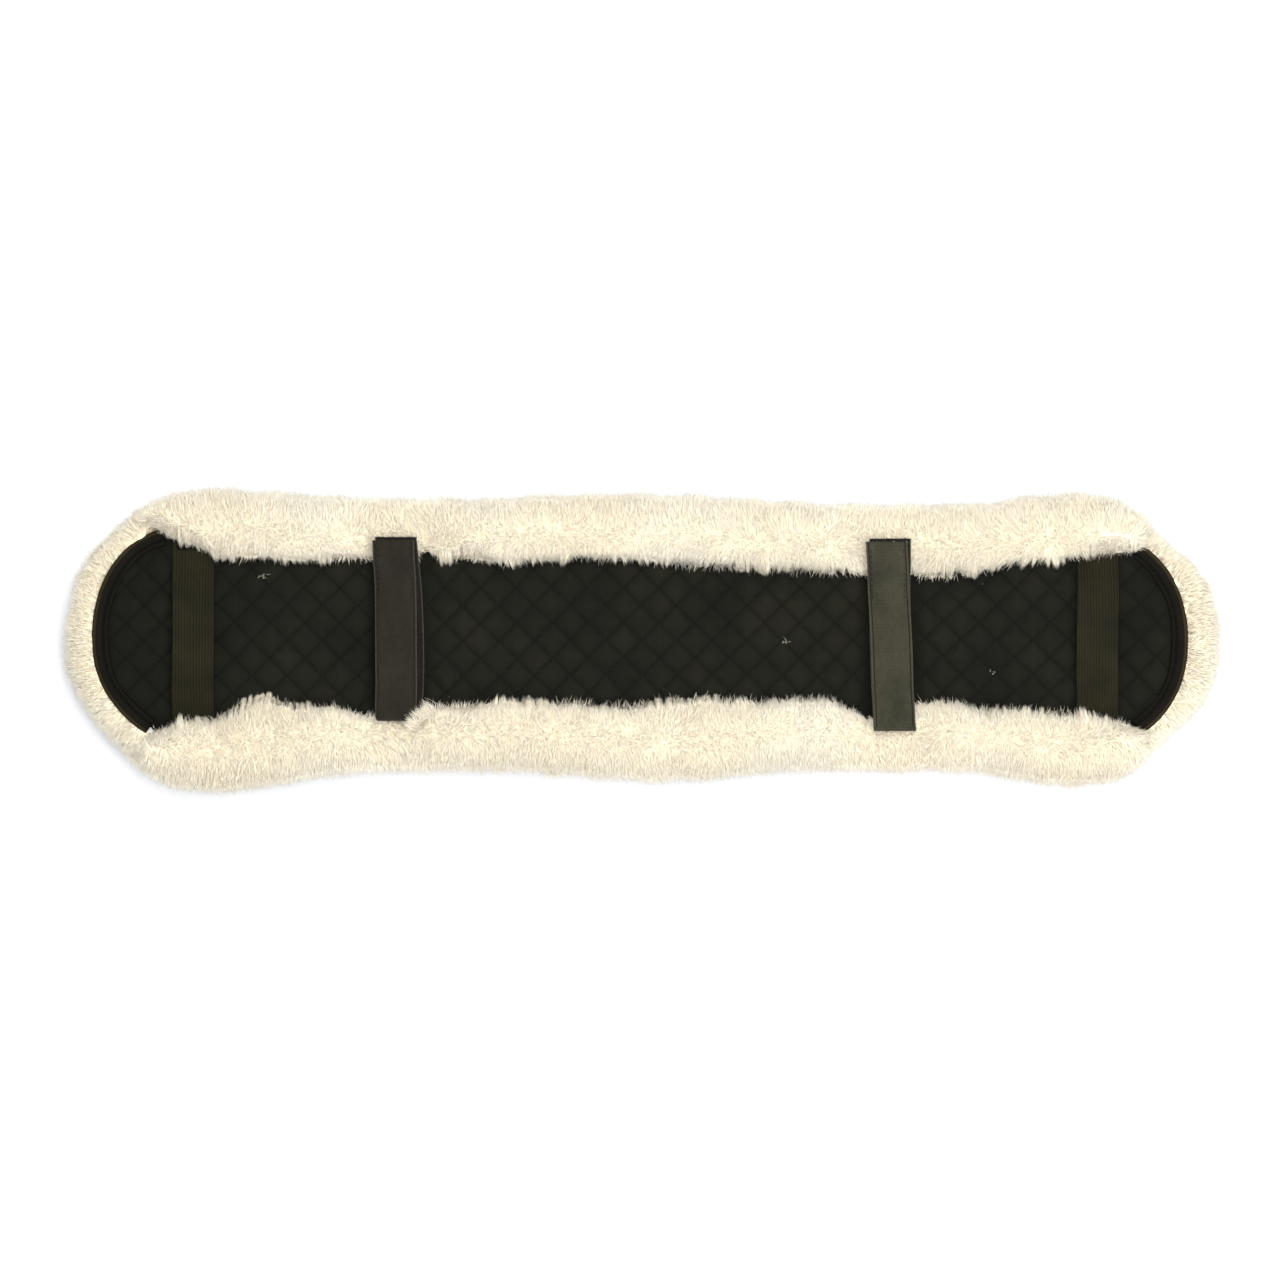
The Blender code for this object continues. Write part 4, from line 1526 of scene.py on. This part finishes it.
def make_hooks(which, material):
    """The hook tape: a thin backing set with rows of small stiff hooks."""
    node = f"hook_tape_{which}"
    strip = Strip(node)
    tape = tape_grid(f"hook_backing_{which}", strip, TAPE_GRID, unlifted, 0.0004, [material], "pad")
    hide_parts(node)
    rng = np.random.default_rng(SEED + 70)
    roots = []
    rows = np.arange(strip.y[0] + HOOK_PITCH, strip.y[-1] - HOOK_PITCH, HOOK_PITCH)
    for row, y in enumerate(rows):
        left, right = strip.edges(y)
        start = left + HOOK_PITCH * (1.0 + 0.5 * (row % 2))
        for x in np.arange(start, right - HOOK_PITCH, HOOK_PITCH):
            roots.append((x, y, strip.bottom(y) + 0.0003))
    roots = np.array(roots)
    directions = np.array([0.0, 0.25, 1.0]) + rng.normal(0, 0.12, roots.shape)
    droop = np.array([0.0, 0.45, -0.1])
    lengths = np.full(len(roots), 0.00062)
    radii = np.full(len(roots), 0.00016)
    strands = (roots, directions, lengths, radii, droop)
    plant(f"hooks_{which}", strands, rng, [material], "hook_tape", curl=0.0)


def make_loops(which, material, body):
    """The loop tape: a felted pile that faces down from the flap."""
    node = f"loop_tape_{which}"
    strip = Strip(node)
    tape = tape_grid(f"loop_backing_{which}", strip, TAPE_GRID, unlifted, 0.0009, [material], body)
    rng = np.random.default_rng(SEED + 80)
    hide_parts(node)
    count = LOOP_COUNT
    y = rng.uniform(strip.y[0] + 0.0005, strip.y[-1] - 0.0005, count)
    left, right = strip.edges(y)
    x = left + (right - left) * rng.uniform(0.03, 0.97, count)
    roots = stacked(x, y, strip.bottom(y) + 0.0001)
    directions = stacked(rng.normal(0, 1, count), rng.normal(0, 1, count), -0.12)
    lengths = rng.uniform(0.0012, 0.0022, count)
    strands = (roots, directions, lengths, np.full(count, 0.00013), STRAIGHT)
    plant(f"loops_{which}", strands, rng, [material], "loop_tape", body, rings=2, curl=0.3)


# ---- Stray fluff ----


def make_fluff(material):
    """A few wisps of wool caught on the quilting."""
    rng = np.random.default_rng(SEED + 90)
    spots = ((-0.2295, 0.0388, 7), (0.0865, -0.0010, 5), (0.2110, -0.0200, 3))
    roots, directions = [], []
    for x, y, count in spots:
        for _ in range(count):
            roots.append((x + rng.normal(0, 0.0011), y + rng.normal(0, 0.0011), FACE_TOP + 0.0021))
            directions.append((rng.normal(), rng.normal(), rng.normal(0, 0.15)))
    roots = np.array(roots)
    lengths = rng.uniform(0.0015, 0.0040, len(roots))
    radii = rng.uniform(0.00007, 0.00013, len(roots))
    strands = (roots, np.array(directions), lengths, radii, STRAIGHT)
    plant("stray_fluff", strands, rng, [material], rings=4, curl=0.5)


# ---- Hidden layers ----


def dress_hidden_layers():
    """The layers inside stay as the CAD made them, with their own finish."""
    wadding = plain_detail("polyester_wadding", (222, 222, 218), (246, 246, 242), 420.0, 0.0004)
    backing = plain_detail("cotton_backing", (22, 21, 20), (38, 37, 34), 700.0, 0.0001)
    for name, material in (("quilt_wadding", wadding), ("quilt_backing_cloth", backing)):
        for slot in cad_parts[name].material_slots:
            slot.material = material


def main():
    make_stage()
    wool = wool_body_material()
    tones = wool_tones()
    thread = plain_detail("sewing_thread", (3, 3, 3), (10, 10, 8), 1500.0, 0.00006, 0.9, 0.0)
    binding = tape_material("binding_weave", (7, 6, 3), (18, 16, 8), 0.0011, 0.0)
    # The binding's turned outer fold is lighter, a painted highlight; its groove is darker, painted
    # shade.
    binding_highlight = tape_material("binding_painted_highlight", (28, 24, 14), (46, 40, 25), 0.0011, 0.0)
    binding_groove_shade = tape_material("binding_groove_shade", (4, 4, 2), (9, 8, 5), 0.0011, 0.0)
    elastic = tape_material("elastic_weave", (18, 17, 9), (33, 31, 18), 0.00178, 0.0)
    # The base strap: the same webbing as the flap, made darker, painted shade under the flap.
    base_strap_shaded = strap_material("strap_charcoal_painted_shade", (14, 13, 11), (30, 28, 24))
    flap_left = strap_material("strap_charcoal", (23, 21, 15), (37, 34, 27))
    flap_right = strap_material("strap_charcoal_faded", (35, 34, 26), (55, 54, 42))
    hook = plain_detail("hook_nylon", (14, 14, 14), (34, 34, 33), 900.0, 0.0001, 0.45, 0.0)
    loop = plain_detail("loop_nap", (34, 32, 28), (64, 61, 54), 1100.0, 0.0003, 0.95, 0.5)

    selvedge_left = plain_detail("selvedge_left", (38, 35, 28), (58, 54, 45), 700.0, 0.0001)
    selvedge_right = plain_detail("selvedge_right", (44, 43, 34), (64, 62, 50), 700.0, 0.0001)
    # The groove just inside each selvedge takes a darker finish, painted shade.
    groove = plain_detail("selvedge_groove_shade", (15, 14, 11), (27, 25, 20), 700.0, 0.0001)

    body = make_wool_body(wool)
    make_coat(body, tones)
    corners = [vert.co for vert in body.data.vertices]
    tree = BVHTree.FromPolygons(corners, [face.vertices for face in body.data.polygons])
    make_fringe(tree, tones)
    make_overlap(tree, tones)
    make_quilt(quilt_material())
    cotton = plain_detail("quilting_cotton", (9, 9, 6), (17, 17, 12), 1500.0, 0.00006, 0.9, 0.0)
    make_quilting_thread(cotton)
    for which in WHICH:
        make_binding(which, (binding, binding_highlight, binding_groove_shade), thread)
        make_elastic(which, elastic, thread)
    flaps = {"left": (flap_left, selvedge_left), "right": (flap_right, selvedge_right)}
    for which, (top, selvedge) in flaps.items():
        edges = (selvedge, groove)
        make_strap(which, (base_strap_shaded, *edges), (top, *edges), hook, loop, thread)
    make_hide(plain_detail("suede_flesh_side", (196, 176, 140), (222, 206, 176), 260.0, 0.0002))
    make_fluff(tones[0])
    dress_hidden_layers()


main()
note_bounds()
